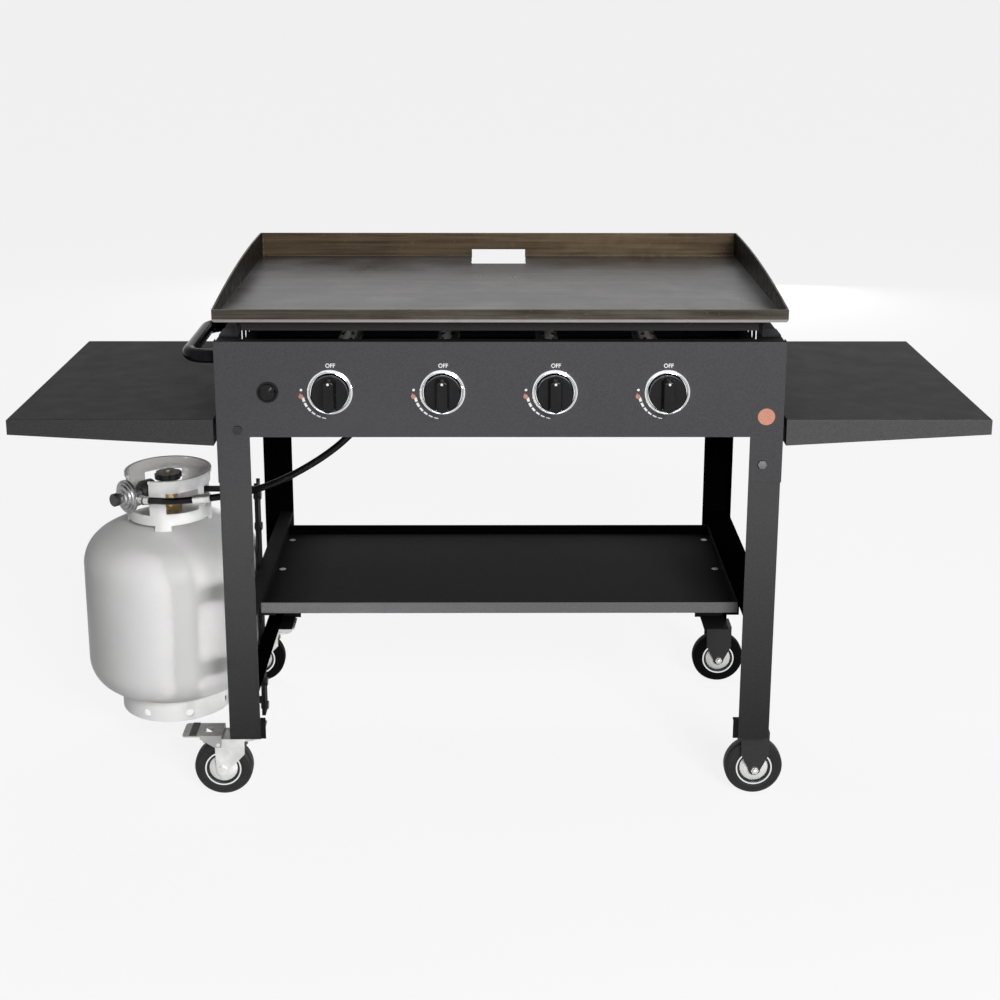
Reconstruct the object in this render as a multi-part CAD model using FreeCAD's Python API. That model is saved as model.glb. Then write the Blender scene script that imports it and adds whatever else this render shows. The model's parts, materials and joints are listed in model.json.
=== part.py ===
import FreeCAD, Part
import math
import os

# Outdoor gas griddle station: steel plate top, burner box, side shelves, cart frame, casters, gas tank.
# Millimetres. X runs to the right as the cook sees it, Y runs from the cook to the back, Z is up.
# The origin is the centre of the bounding box, on the floor. Shapes are first drawn with Y = 0 on
# the front face of the front panel, and save() moves them all by DEPTH_SHIFT.

V = FreeCAD.Vector

# Overall
OVERALL_WIDTH = 1587.5
LEG_BOTTOM = 120.0
BOX_BOTTOM = 654.0
BOX_TOP = 812.0
BOX_BACK = 506.0
PANEL_HALF = 457.0
SHEET = 1.2
LEG_STEEL = 2.0
RETURN_DEPTH = 20.0

# Cooking top
GRIDDLE_HALF = 457.2
GRIDDLE_DEPTH = 550.0
PLATE_UNDERSIDE = 844.0
PLATE_THICKNESS = 4.5
WALL = 3.0
LIP_TOP = 864.0
WALL_MIDDLE = (250.0, 887.0)
WALL_TOP = 893.0
DRAIN_HALF = 51.0
DRAIN_FRONT = 470.0
DRAIN_HOLE_TOP = 861.5
CHUTE_FRONT_Z = 841.0
CHUTE_BACK_Z = 814.0
CHUTE_BACK = 547.0
STIFFENER_HEIGHT = 20.0
STIFFENER_THICKNESS = 5.0
STIFFENER_HALF = 415.0
STIFFENER_FRONT = 28.0
STIFFENER_REAR = 448.0
FOOT_X = 423.0

# Controls
KNOB_X = (-272.5, -92.5, 87.5, 267.5)
KNOB_Z = 729.5
KNOB_RADIUS = 30.4
KNOB_BACK = 5.0
KNOB_SKIRT = 12.0
KNOB_FRONT = 35.0
GRIP_WIDTH = 23.0
GRIP_SLOPE = 3.0
BEZEL_RADIUS = 37.4
BEZEL_INNER = 31.6
BEZEL_HEIGHT = 5.8
STEM_RADIUS = 4.0
RUNNING_GAP = 0.05
PUSH_TRAVEL = 3.0
STEM_BACK = 22.0
STEM_FRONT = -20.0
IGNITER_X = -372.0
IGNITER_Z = 729.5
IGNITER_RADIUS = 17.0
IGNITER_TRAVEL = 5.0

# Gas train in the box
PIPE_RADIUS = 9.0
PIPE_Y = 28.0
PIPE_Z = 708.0
PIPE_HALF = 300.0
VALVE_FRONT = 8.0
VALVE_BACK = 44.0
BURNER_RADIUS = 20.0
BURNER_FRONT = 50.0
BURNER_BACK = 470.0
BURNER_RAIL_Y = (104.0, 440.0)

# Frame
LEG_WIDTH = 52.0
REAR_LEG_RETURN = 25.0
LEG_HALF = PANEL_HALF - SHEET
EAR_BOTTOM = 577.0
SIDE_PANEL_HALF = LEG_HALF - LEG_STEEL
SHELF_TOP = 344.0
SHELF_FLOOR = 324.0
SHELF_FRONT = 56.0
SHELF_BACK = 428.0
SHELF_HALF = 403.6
RAIL_STEEL = 2.0
RAIL_DROP = 32.0
RAIL_INNER = 404.0
LEFT_RAIL_OUTER = 430.0
LOWER_RAIL_TOP = 208.0

# Side shelves
SIDE_SHELF_TOP = 683.5
SIDE_SHELF_INNER = 462.0
SIDE_SHELF_OUTER = OVERALL_WIDTH / 2
SIDE_SHELF_DEPTH = 532.0
FLANGE_INNER = 44.0
FLANGE_OUTER = 25.5
HANGER_Y = (110.0, 400.0)
HANGER_Z = 662.0
HANGER_SHANK = 4.0
LIFT_OFF = 12.0

# Push handle
HANDLE_TUBE = 11.5
HANDLE_WALL = 1.5
HANDLE_OUT = 506.5
HANDLE_NEAR = 34.0
HANDLE_FAR = 254.0
HANDLE_Z = 780.5
HANDLE_BEND = 32.0
HANDLE_FOOT = 13.5

# Casters
WHEEL_RADIUS = 50.0
TYRE_WIDTH = 28.0
HUB_RADIUS = 31.0
HUB_LENGTH = 34.0
AXLE_RADIUS = 5.0
WHEEL_PLANES = (43.5, 475.0)
SWIVEL_X = -430.0
TRAIL = 44.5
RIGID_X = 438.0
FORK_INNER = 18.0
FORK_STEEL = 3.0
SWIVEL_PLATE = 3.0
RACE_RADIUS = 24.0
CROWN_TOP = 108.5
CROWN_BOTTOM = 104.5
KINGPIN_RADIUS = 6.0
PEDAL_TOP = 116.0
PEDAL_TIP = 111.0
PEDAL_PIVOT = (-480.0, 99.0)

# Gas tank
TANK_X = -593.0
TANK_Y = 255.0
TANK_RADIUS = 155.0
TANK_BOTTOM = 72.0
TANK_TOP = 516.0
KNUCKLE = 60.0
CYLINDER_BOTTOM = 174.0
CYLINDER_TOP = 350.0
KNUCKLE_ANGLE = 60.0
TANK_STEEL = 2.6
COLLAR_RADIUS = 74.0
COLLAR_STEEL = 3.0
COLLAR_BOTTOM = 424.0
COLLAR_BAND = 434.0
COLLAR_WINDOW = (455.0, 493.0)
COLLAR_FEET = (272.0, 2.0, 92.0, 182.0)
FOOT_HALF_ANGLE = 11.0
RING_RADIUS = 100.0
OUTLET_Z = 486.0
OUTLET_ANGLE = 227.0
HOSE_RADIUS = 6.0
BAR_FRONT = 230.0
BAR_BACK = 260.0
BAR_OUTER = -436.5
BAR_INNER = -LEFT_RAIL_OUTER
BAR_BOTTOM = 46.0
BAR_TOP = 496.0
HOOK_Z = 480.0

# Grease cup
CUP_TOP_HALF = 60.0
CUP_BOTTOM_HALF = 52.0
CUP_FRONT = 512.0
CUP_BACK = 574.0
CUP_TOP = 778.0
CUP_HEIGHT = 78.0
CUP_TAPER = 5.0
CUP_RIM = 7.0

# The depth from the knobs to the rim of the grease cup is centred on the origin
DEPTH_SHIFT = (KNOB_FRONT - (CUP_BACK + CUP_RIM)) / 2

# Hose from the regulator to the manifold inlet, drawn with Y = 0 on the front panel
HOSE_ROUTE = [
    (-596.0, 157.4, 490.0),
    (-567.0, 136.0, 496.0),
    (-530.0, 131.0, 500.5),
    (-480.0, 128.0, 507.0),
    (-428.0, 127.0, 517.0),
    (-378.0, 128.0, 534.0),
    (-332.0, 127.0, 559.0),
    (-291.0, 122.0, 587.0),
    (-257.0, 112.0, 618.0),
    (-230.0, 94.0, 652.0),
]
INLET_X = -200.0
INLET_REACH = 44.0
FERRULE = 13.0
SLEEVE_LENGTH = 30.0


def box(x0, x1, y0, y1, z0, z1):
    return Part.makeBox(x1 - x0, y1 - y0, z1 - z0, V(x0, y0, z0))


def rod(start, direction, radius, length):
    return Part.makeCylinder(radius, length, V(*start), V(*direction))


def fuse(shapes):
    whole = shapes[0].multiFuse(shapes[1:]) if len(shapes) > 1 else shapes[0]
    return whole.removeSplitter()


def cut(shape, tools):
    for tool in tools:
        shape = shape.cut(tool)
    return shape


def mirror_x(shape):
    return shape.mirror(V(0, 0, 0), V(1, 0, 0))


def prism(points, direction):
    """Extrude a closed outline of 3-D points along a vector."""
    wire = Part.makePolygon([V(*p) for p in points] + [V(*points[0])])
    return Part.Face(wire).extrude(V(*direction))


def revolve(profile, base, axis, radial):
    """Turn a closed (radius, height) outline round an axis through base."""
    axis = V(*axis).normalize()
    radial = V(*radial).normalize()
    points = [V(*base) + radial * r + axis * h for r, h in profile]
    face = Part.Face(Part.makePolygon(points + [points[0]]))
    return face.revolve(V(*base), axis, 360)


def fillet(shape, radius, wanted):
    """Round the edges for which wanted(edge) is true."""
    edges = [edge for edge in shape.Edges if wanted(edge)]
    return shape.makeFillet(radius, edges)


def runs_along(edge, direction):
    if len(edge.Vertexes) != 2:
        return False
    span = edge.Vertexes[1].Point - edge.Vertexes[0].Point
    return span.Length > 0 and abs(span.normalize().dot(V(*direction))) > 0.999


# Bolts

BOLT_RADIUS = 4.0
BOLT_HEAD = 6.5
BOLT_HEAD_HEIGHT = 4.0


def hexagon(start, direction, across, height):
    """A hexagon prism from start along direction."""
    direction = V(*direction).normalize()
    side = direction.cross(V(0, 0, 1)) if abs(direction.z) < 0.9 else V(1, 0, 0)
    side.normalize()
    other = direction.cross(side)
    radius = across / math.sqrt(3)
    corners = []
    for step in range(6):
        angle = math.radians(60 * step)
        corners.append(V(*start) + (side * math.cos(angle) + other * math.sin(angle)) * radius)
    return Part.Face(Part.makePolygon(corners + [corners[0]])).extrude(direction * height)


def bolt(start, inward, grip):
    """A hexagon bolt whose head sits outside start, with its nut at the far side of the grip."""
    way = V(*inward)
    head = hexagon(start, (-way.x, -way.y, -way.z), 2 * BOLT_HEAD, BOLT_HEAD_HEIGHT)
    shank = rod(start, inward, BOLT_RADIUS, grip)
    nut = hexagon(V(*start) + way * grip, inward, 2 * BOLT_HEAD, BOLT_HEAD_HEIGHT)
    return fuse([head, shank, nut])


BOX_BOLT_Z = (690.0, 742.0)
BAR_STEEL = 2.5
HOLDER_STEEL = 3.0
BAR_BOLT_Y = 245.0
BAR_BOLT_Z = (469.0, 411.0, 107.0, 60.0)
SIDE_BOLT_Y = (36.0, 494.0)


def through_bolts():
    """(start, inward, grip) of every bolt that goes through the frame."""
    places = [
        ((-422.0, 0, 666.5), (0, 1, 0), SHEET + LEG_STEEL),
        ((424.5, 0, 608.0), (0, 1, 0), SHEET + LEG_STEEL),
    ]
    for side in (-1, 1):
        for y in SIDE_BOLT_Y:
            for z in BOX_BOLT_Z:
                places.append(((side * LEG_HALF, y, z), (-side, 0, 0), LEG_STEEL + SHEET))
        for z in BOX_BOLT_Z:
            rear = (side * 424.0, BOX_BACK + LEG_STEEL, z)
            places.append((rear, (0, -1, 0), LEG_STEEL + SHEET))
    for y in SIDE_BOLT_Y:
        places.append(((LEG_HALF, y, SHELF_TOP - 18), (-1, 0, 0), LEG_STEEL + RAIL_STEEL))
    for top in (SHELF_TOP, LOWER_RAIL_TOP):
        bar = (BAR_INNER - BAR_STEEL, BAR_BOLT_Y, top - 18)
        places.append((bar, (1, 0, 0), BAR_STEEL + RAIL_STEEL))
    for z in BAR_BOLT_Z:
        holder = (BAR_INNER - BAR_STEEL - HOLDER_STEEL, BAR_BOLT_Y, z)
        places.append((holder, (1, 0, 0), BAR_STEEL + HOLDER_STEEL))
    return places


# Flat screws that hold the tray to the ledges, with their heads flush in its floor
SCREW_PLACES = [(side * 393.0, y) for side in (-1, 1) for y in (84.0, 252.0, 398.0)]
SCREW_HEAD = 6.0
SCREW_SHANK = 3.0


def drill(shape):
    """Open the bolt holes in a sheet or leg."""
    for start, inward, grip in through_bolts():
        hole = rod(V(*start) - V(*inward) * 2, inward, BOLT_RADIUS, grip + 4)
        if hole.BoundBox.intersect(shape.BoundBox):
            shape = shape.cut(hole)
    return shape


def frame_bolts():
    solids = [bolt(*place) for place in through_bolts()]
    for x, y in SCREW_PLACES:
        head = rod((x, y, SHELF_FLOOR), (0, 0, 1), SCREW_HEAD, SHEET - 0.05)
        shank = rod((x, y, SHELF_FLOOR - 8), (0, 0, 1), SCREW_SHANK, 8)
        solids.append(fuse([head, shank]))
    for side in (-1, 1):
        for y in HANGER_Y:
            solids.append(shoulder_bolt(side, y))
    return Part.makeCompound(solids)


def shoulder_bolt(side, y):
    """Fixed in the side panel; its head stands inside the hanging flange of a side shelf."""
    start = (side * SIDE_PANEL_HALF, y, HANGER_Z)
    reach = SIDE_SHELF_INNER + SHEET + 0.6 - SIDE_PANEL_HALF
    spacer = rod(start, (side, 0, 0), 7.0, SIDE_SHELF_INNER - 0.6 - SIDE_PANEL_HALF)
    shank = rod(start, (side, 0, 0), HANGER_SHANK, reach)
    head = rod((start[0] + side * reach, y, HANGER_Z), (side, 0, 0), 7.0, 3.0)
    return fuse([spacer, shank, head])


# Cooking top

def griddle_top():
    front = V(-GRIDDLE_HALF, 0, PLATE_UNDERSIDE)
    lip = V(-GRIDDLE_HALF, 0, LIP_TOP)
    middle = V(-GRIDDLE_HALF, *WALL_MIDDLE)
    back_top = V(-GRIDDLE_HALF, GRIDDLE_DEPTH, WALL_TOP)
    back = V(-GRIDDLE_HALF, GRIDDLE_DEPTH, PLATE_UNDERSIDE)
    edges = [
        Part.makeLine(front, lip),
        Part.Arc(lip, middle, back_top).toShape(),
        Part.makeLine(back_top, back),
        Part.makeLine(back, front),
    ]
    pan = Part.Face(Part.Wire(edges)).extrude(V(2 * GRIDDLE_HALF, 0, 0))
    pan = fillet(pan, 5.0, lambda e: runs_along(e, (0, 1, 0)) and e.BoundBox.ZMax < PLATE_UNDERSIDE + 1)
    surface = PLATE_UNDERSIDE + PLATE_THICKNESS
    room = GRIDDLE_HALF - WALL
    inside = box(-room, room, WALL, GRIDDLE_DEPTH - WALL, surface, WALL_TOP + 10)
    inside = fillet(inside, 3.0, lambda e: runs_along(e, (0, 0, 1)))
    notch = box(-DRAIN_HALF, DRAIN_HALF, DRAIN_FRONT, GRIDDLE_DEPTH, PLATE_UNDERSIDE, surface)
    hole = box(-DRAIN_HALF, DRAIN_HALF, GRIDDLE_DEPTH - WALL, GRIDDLE_DEPTH, PLATE_UNDERSIDE, DRAIN_HOLE_TOP)
    pan = cut(pan, [inside, notch, hole])
    return fuse([pan, drain_chute()])


def drain_chute():
    """A folded trough welded under the drain notch, falling to the back."""
    cheek = SHEET + 0.3
    outline = [
        (0, DRAIN_FRONT - 4, PLATE_UNDERSIDE),
        (0, DRAIN_FRONT - 4, CHUTE_FRONT_Z - cheek),
        (0, CHUTE_BACK, CHUTE_BACK_Z),
        (0, CHUTE_BACK, PLATE_UNDERSIDE),
    ]
    half = DRAIN_HALF + cheek
    outer = prism([(-half, y, z) for _, y, z in outline], (2 * half, 0, 0))
    slope = [
        (-DRAIN_HALF, DRAIN_FRONT, PLATE_UNDERSIDE),
        (-DRAIN_HALF, DRAIN_FRONT, CHUTE_FRONT_Z),
        (-DRAIN_HALF, CHUTE_BACK, CHUTE_BACK_Z + cheek),
        (-DRAIN_HALF, CHUTE_BACK, PLATE_UNDERSIDE),
    ]
    return outer.cut(prism(slope, (2 * DRAIN_HALF, 0, 0)))


def griddle_underframe():
    """Bars on edge under the plate, and four angle feet that stand on the box."""
    low = PLATE_UNDERSIDE - STIFFENER_HEIGHT
    half = STIFFENER_HALF
    bars = []
    for y in (STIFFENER_FRONT, STIFFENER_REAR):
        bars.append(box(-half, half, y, y + STIFFENER_THICKNESS, low, PLATE_UNDERSIDE))
    for x in (-half, -140.0, 135.0, half - STIFFENER_THICKNESS):
        inside = (STIFFENER_FRONT + STIFFENER_THICKNESS, STIFFENER_REAR)
        bars.append(box(x, x + STIFFENER_THICKNESS, *inside, low, PLATE_UNDERSIDE))
    solids = bars
    for side in (-1, 1):
        for y in (36.0, 430.0):
            web = box(FOOT_X, FOOT_X + 3, y, y + 44, BOX_TOP, PLATE_UNDERSIDE)
            sole = box(FOOT_X + 3, FOOT_X + 30, y, y + 44, BOX_TOP, BOX_TOP + 3)
            foot = fuse([web, sole])
            solids.append(foot if side > 0 else mirror_x(foot))
    return Part.makeCompound(solids)


# Burner box

def front_panel():
    face = box(-PANEL_HALF, PANEL_HALF, 0, SHEET, BOX_BOTTOM, BOX_TOP)
    solids = [face]
    clear = SIDE_PANEL_HALF - SHEET - RETURN_DEPTH - 0.6
    solids.append(box(-clear, clear, SHEET, RETURN_DEPTH, BOX_TOP - SHEET, BOX_TOP))
    between_legs = LEG_HALF - LEG_WIDTH - 2
    solids.append(box(-between_legs, between_legs, SHEET, RETURN_DEPTH, BOX_BOTTOM, BOX_BOTTOM + SHEET))
    for side in (-1, 1):
        ear = box(LEG_HALF - LEG_WIDTH, PANEL_HALF, 0, SHEET, EAR_BOTTOM, BOX_BOTTOM)
        edge = box(LEG_HALF, PANEL_HALF, SHEET, RETURN_DEPTH, EAR_BOTTOM, BOX_TOP)
        solids += [ear, edge] if side > 0 else [mirror_x(ear), mirror_x(edge)]
    panel = fuse(solids)
    corner = lambda e: runs_along(e, (0, 0, 1)) and abs(e.BoundBox.XMax) > PANEL_HALF - 0.1 \
        and e.BoundBox.YMax < 0.1 and e.BoundBox.YMin > -0.1
    panel = fillet(panel, 1.0, corner)
    holes = [rod((x, -1, KNOB_Z), (0, 1, 0), 10.0, 4) for x in KNOB_X]
    holes.append(rod((IGNITER_X, -1, IGNITER_Z), (0, 1, 0), 16.0, 4))
    return drill(cut(panel, holes))


def side_panel():
    """Right side panel, with folds at top and bottom, air slots, and holes for the shelf bolts."""
    inner = SIDE_PANEL_HALF - SHEET
    front = SHEET + LEG_STEEL
    back = BOX_BACK - SHEET
    web = box(inner, SIDE_PANEL_HALF, front, back, BOX_BOTTOM, BOX_TOP)
    top = box(inner - RETURN_DEPTH, inner, front, back, BOX_TOP - SHEET, BOX_TOP)
    bottom = box(inner - RETURN_DEPTH, inner, front + 50, back - 50, BOX_BOTTOM, BOX_BOTTOM + SHEET)
    panel = fuse([web, top, bottom])
    for y in (258.0, 300.0, 342.0):
        slot = box(inner - 1, SIDE_PANEL_HALF + 1, y, y + 16, 744.0, 778.0)
        slot = fillet(slot, 7.9, lambda e: runs_along(e, (1, 0, 0)))
        panel = panel.cut(slot)
    return drill(panel)


def rear_panel():
    inner = SIDE_PANEL_HALF - SHEET
    face = box(-SIDE_PANEL_HALF, SIDE_PANEL_HALF, BOX_BACK - SHEET, BOX_BACK, BOX_BOTTOM, BOX_TOP)
    half = inner - RETURN_DEPTH - 0.6
    top = box(-half, half, BOX_BACK - RETURN_DEPTH, BOX_BACK - SHEET, BOX_TOP - SHEET, BOX_TOP)
    low = box(-half, half, BOX_BACK - RETURN_DEPTH, BOX_BACK - SHEET, BOX_BOTTOM, BOX_BOTTOM + SHEET)
    panel = fuse([face, top, low])
    for column in range(-5, 6):
        if abs(column) < 2:
            continue
        x = column * 70.0
        slot = box(x - 22, x + 22, BOX_BACK - 5, BOX_BACK + 1, 782.0, 790.0)
        panel = panel.cut(fillet(slot, 3.9, lambda e: runs_along(e, (0, 1, 0))))
    return drill(panel)


def burner_tubes():
    """Straight steel tubes, open at the front where the valve jet blows in, flattened shut at the back."""
    solids = []
    for x in KNOB_X:
        tube = rod((x, BURNER_FRONT, KNOB_Z), (0, 1, 0), BURNER_RADIUS, BURNER_BACK - BURNER_FRONT)
        bore = rod((x, BURNER_FRONT, KNOB_Z), (0, 1, 0), BURNER_RADIUS - 1.5, BURNER_BACK - BURNER_FRONT - 3)
        tube = tube.cut(bore)
        for step in range(9):
            y = 130.0 + 38.0 * step
            for side in (-1, 1):
                port = box(x + side * 9 - 3, x + side * 9 + 3, y, y + 16, KNOB_Z + 12, KNOB_Z + 22)
                tube = tube.cut(port)
        for side in (-1, 1):
            shutter = box(x + min(0, side * 24), x + max(0, side * 24), 60.0, 78.0, KNOB_Z - 6, KNOB_Z + 6)
            tube = tube.cut(shutter)
        solids.append(tube)
    return Part.makeCompound(solids)


def burner_rails():
    """Two angle rails from side panel to side panel, with the burners lying on them."""
    inner = SIDE_PANEL_HALF - SHEET
    top = KNOB_Z - BURNER_RADIUS
    solids = []
    for y in BURNER_RAIL_Y:
        flat = box(-inner, inner, y, y + 20, top - 1.5, top)
        web = box(-inner, inner, y, y + 1.5, top - 20, top - 1.5)
        solids.append(fuse([flat, web]))
    return Part.makeCompound(solids)


def inlet_direction():
    """From the manifold pipe towards the last bend of the hose."""
    return (V(*HOSE_ROUTE[-1]) - V(INLET_X, PIPE_Y, PIPE_Z)).normalize()


def gas_manifold():
    pipe = rod((-PIPE_HALF, PIPE_Y, PIPE_Z), (1, 0, 0), PIPE_RADIUS, 2 * PIPE_HALF)
    nipple = rod((INLET_X, PIPE_Y, PIPE_Z), inlet_direction(), 7.0, INLET_REACH - 14)
    bore = rod((3 - PIPE_HALF, PIPE_Y, PIPE_Z), (1, 0, 0), PIPE_RADIUS - 2, 2 * PIPE_HALF - 6)
    return fuse([pipe, nipple]).cut(bore)


def gas_valves():
    """Valve bodies that sit on the manifold pipe, each with a jet that points into its burner."""
    solids = []
    for x in KNOB_X:
        body = box(x - 12, x + 12, VALVE_FRONT, VALVE_BACK, KNOB_Z - 12, KNOB_Z + 12)
        body = fillet(body, 3.0, lambda e: runs_along(e, (0, 1, 0)))
        saddle = box(x - 9, x + 9, PIPE_Y - 9, PIPE_Y + 9, PIPE_Z + 2, KNOB_Z - 12)
        saddle = saddle.cut(rod((x - 10, PIPE_Y, PIPE_Z), (1, 0, 0), PIPE_RADIUS, 20))
        jet = hexagon((x, VALVE_BACK, KNOB_Z), (0, 1, 0), 11.0, 10.0)
        bore = rod((x, VALVE_FRONT, KNOB_Z), (0, 1, 0), STEM_RADIUS + RUNNING_GAP, 20)
        solids.append(fuse([body, saddle, jet]).cut(bore))
    return Part.makeCompound(solids)


def valve_stem(x):
    return rod((x, STEM_FRONT, KNOB_Z), (0, 1, 0), STEM_RADIUS, STEM_BACK - STEM_FRONT)


def knob(x):
    """A round skirt with a tapered grip bar across its face, standing upright at OFF."""
    back = -KNOB_BACK
    edge = 1.6
    skirt = revolve(
        [(0, 0), (KNOB_RADIUS - 0.6, 0), (KNOB_RADIUS, 1), (KNOB_RADIUS - 1, KNOB_SKIRT - edge),
         (KNOB_RADIUS - 1 - edge, KNOB_SKIRT), (0, KNOB_SKIRT)],
        (x, back, KNOB_Z), (0, -1, 0), (1, 0, 0))
    foot = grip_outline(x, back - KNOB_SKIRT + 0.5, GRIP_WIDTH / 2, KNOB_RADIUS - 2.2)
    crest = grip_outline(x, -KNOB_FRONT, GRIP_WIDTH / 2 - GRIP_SLOPE, KNOB_RADIUS - 4.5)
    grip = Part.makeLoft([foot, crest], True, True)
    grip = fillet(grip, 2.0, lambda e: e.BoundBox.YMax < -KNOB_FRONT + 0.1)
    bore = rod((x, back, KNOB_Z), (0, -1, 0), STEM_RADIUS + RUNNING_GAP, -STEM_FRONT - KNOB_BACK + 0.5)
    return fuse([skirt, grip]).cut(bore)


def grip_outline(x, y, half_width, half_height):
    """A bar with arched ends, as a wire in the plane of one depth."""
    shoulder = half_height - 4.0
    corners = [V(x - half_width, y, KNOB_Z - shoulder), V(x - half_width, y, KNOB_Z + shoulder),
               V(x + half_width, y, KNOB_Z + shoulder), V(x + half_width, y, KNOB_Z - shoulder)]
    top = V(x, y, KNOB_Z + half_height)
    bottom = V(x, y, KNOB_Z - half_height)
    return Part.Wire([
        Part.makeLine(corners[0], corners[1]),
        Part.Arc(corners[1], top, corners[2]).toShape(),
        Part.makeLine(corners[2], corners[3]),
        Part.Arc(corners[3], bottom, corners[0]).toShape(),
    ])


def knob_bezels():
    """Chrome rings: a round outer bead, a fine groove, and a higher inner bead close to the knob."""
    out = BEZEL_RADIUS
    top = BEZEL_HEIGHT
    profile = [
        (11.0, 0), (out, 0), (out, 1.0), (out - 0.4, 2.2), (out - 1.2, 3.2), (out - 2.2, 3.7),
        (out - 2.8, 3.4), (out - 3.1, 4.4), (out - 3.8, 5.4), (out - 4.7, top),
        (BEZEL_INNER + 0.3, top - 0.3), (BEZEL_INNER, top - 1.2), (BEZEL_INNER, 1.2), (11.0, 1.2),
    ]
    return Part.makeCompound([revolve(profile, (x, 0, KNOB_Z), (0, -1, 0), (1, 0, 0)) for x in KNOB_X])


def igniter_housing():
    """A flanged cup through the panel, with a nut and the spark cell behind it."""
    cup = 14.0
    shank = 6.0 + RUNNING_GAP
    profile = [
        (cup, 4.0), (IGNITER_RADIUS - 1.2, 4.0), (IGNITER_RADIUS, 2.8), (IGNITER_RADIUS, 0), (16.0, 0),
        (16.0, -20.0), (12.0, -20.0), (12.0, -48.0), (0, -48.0), (0, -28.0), (shank, -28.0), (shank, -6.0),
        (cup, -6.0),
    ]
    housing = revolve(profile, (IGNITER_X, 0, IGNITER_Z), (0, -1, 0), (1, 0, 0))
    nut = hexagon((IGNITER_X, SHEET, IGNITER_Z), (0, 1, 0), 42.0, 6.0)
    nut = nut.cut(rod((IGNITER_X, 0, IGNITER_Z), (0, 1, 0), 15.9, 10))
    return fuse([housing, nut])


def igniter_button():
    """A domed cap on a plain shank; it moves 5 mm into the cup."""
    cap = 13.5
    profile = [(0, 11.0), (7.0, 10.4), (11.5, 8.8), (cap, 6.5), (cap, 0), (6.0, 0), (6.0, -20.0), (0, -20.0)]
    return revolve(profile, (IGNITER_X, 0, IGNITER_Z), (0, -1, 0), (1, 0, 0))


# Frame

def leg_angle(front):
    """Right-hand leg: a steel angle, with one flange on the side and one on the front or the back."""
    inner = LEG_HALF - LEG_WIDTH
    face = LEG_HALF - LEG_STEEL
    top = BOX_TOP - 4
    if front:
        flange = box(inner, LEG_HALF, SHEET, SHEET + LEG_STEEL, LEG_BOTTOM, top)
        side = box(face, LEG_HALF, SHEET, SHEET + LEG_WIDTH, LEG_BOTTOM, top)
    else:
        back = BOX_BACK + LEG_STEEL
        flange = box(inner, LEG_HALF, BOX_BACK, back, LEG_BOTTOM, top)
        side = box(face, LEG_HALF, back - REAR_LEG_RETURN, back, LEG_BOTTOM, top)
    leg = fuse([flange, side])
    outer_y = SHEET if front else BOX_BACK + LEG_STEEL

    def corner(edge):
        near = abs(edge.BoundBox.YMin - outer_y) < 0.1 and abs(edge.BoundBox.XMax - LEG_HALF) < 0.1
        return runs_along(edge, (0, 0, 1)) and near

    return fillet(leg, 1.8, corner)


def right_leg(front):
    return drill(leg_angle(front))


def left_leg(front):
    return drill(mirror_x(leg_angle(front)))


def left_rail(top):
    """Left rail: a folded channel set in from the legs, so that the tank nests beside it."""
    outer = -LEFT_RAIL_OUTER
    inner = -RAIL_INNER
    front = SHEET + LEG_STEEL
    back = BOX_BACK
    flat = box(outer, inner, front, back, top - RAIL_STEEL, top)
    web = box(outer, outer + RAIL_STEEL, front, back, top - RAIL_DROP, top)
    tabs = []
    for y in (front, back - RAIL_STEEL):
        tabs.append(box(outer, inner, y, y + RAIL_STEEL, top - RAIL_DROP, top))
    solids = [flat, web] + tabs
    if top == SHELF_TOP:
        solids += shelf_ledge(-1)
    return drill(fuse(solids))


def shelf_ledge(side):
    """The inner web of an upper rail, folded in under the shelf floor to carry it."""
    front = SHELF_FRONT - 2
    back = SHELF_BACK + 2
    under = SHELF_FLOOR - RAIL_STEEL
    web = box(RAIL_INNER, RAIL_INNER + RAIL_STEEL, front, back, under, SHELF_TOP - RAIL_STEEL)
    ledge = box(RAIL_INNER - 24, RAIL_INNER + RAIL_STEEL, front, back, under, SHELF_FLOOR)
    for x, y in SCREW_PLACES:
        ledge = ledge.cut(rod((x, y, under - 1), (0, 0, 1), SCREW_SHANK, RAIL_STEEL + 2))
    return [web, ledge] if side > 0 else [mirror_x(web), mirror_x(ledge)]


def right_rail():
    """Right rail: a wide folded channel that fills the width of the legs."""
    outer = LEG_HALF - LEG_STEEL
    front = SHEET + LEG_STEEL
    flat = box(RAIL_INNER, outer, front, BOX_BACK, SHELF_TOP - RAIL_STEEL, SHELF_TOP)
    web = box(outer - RAIL_STEEL, outer, front, BOX_BACK, SHELF_TOP - RAIL_DROP, SHELF_TOP)
    return drill(fuse([flat, web] + shelf_ledge(1)))


def lower_shelf():
    """A tray with a lip all round; its floor lies on the ledges of the two upper rails."""
    outer = box(-SHELF_HALF, SHELF_HALF, SHELF_FRONT, SHELF_BACK, SHELF_FLOOR, SHELF_TOP)
    outer = fillet(outer, 2.5, lambda e: runs_along(e, (1, 0, 0)) and e.BoundBox.ZMax < SHELF_FLOOR + 1)
    half = SHELF_HALF - SHEET
    inner = box(-half, half, SHELF_FRONT + SHEET, SHELF_BACK - SHEET, SHELF_FLOOR + SHEET, SHELF_TOP + 1)
    seats = [rod((x, y, SHELF_FLOOR - 1), (0, 0, 1), SCREW_HEAD, 4) for x, y in SCREW_PLACES]
    return cut(outer, [inner] + seats)


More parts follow.
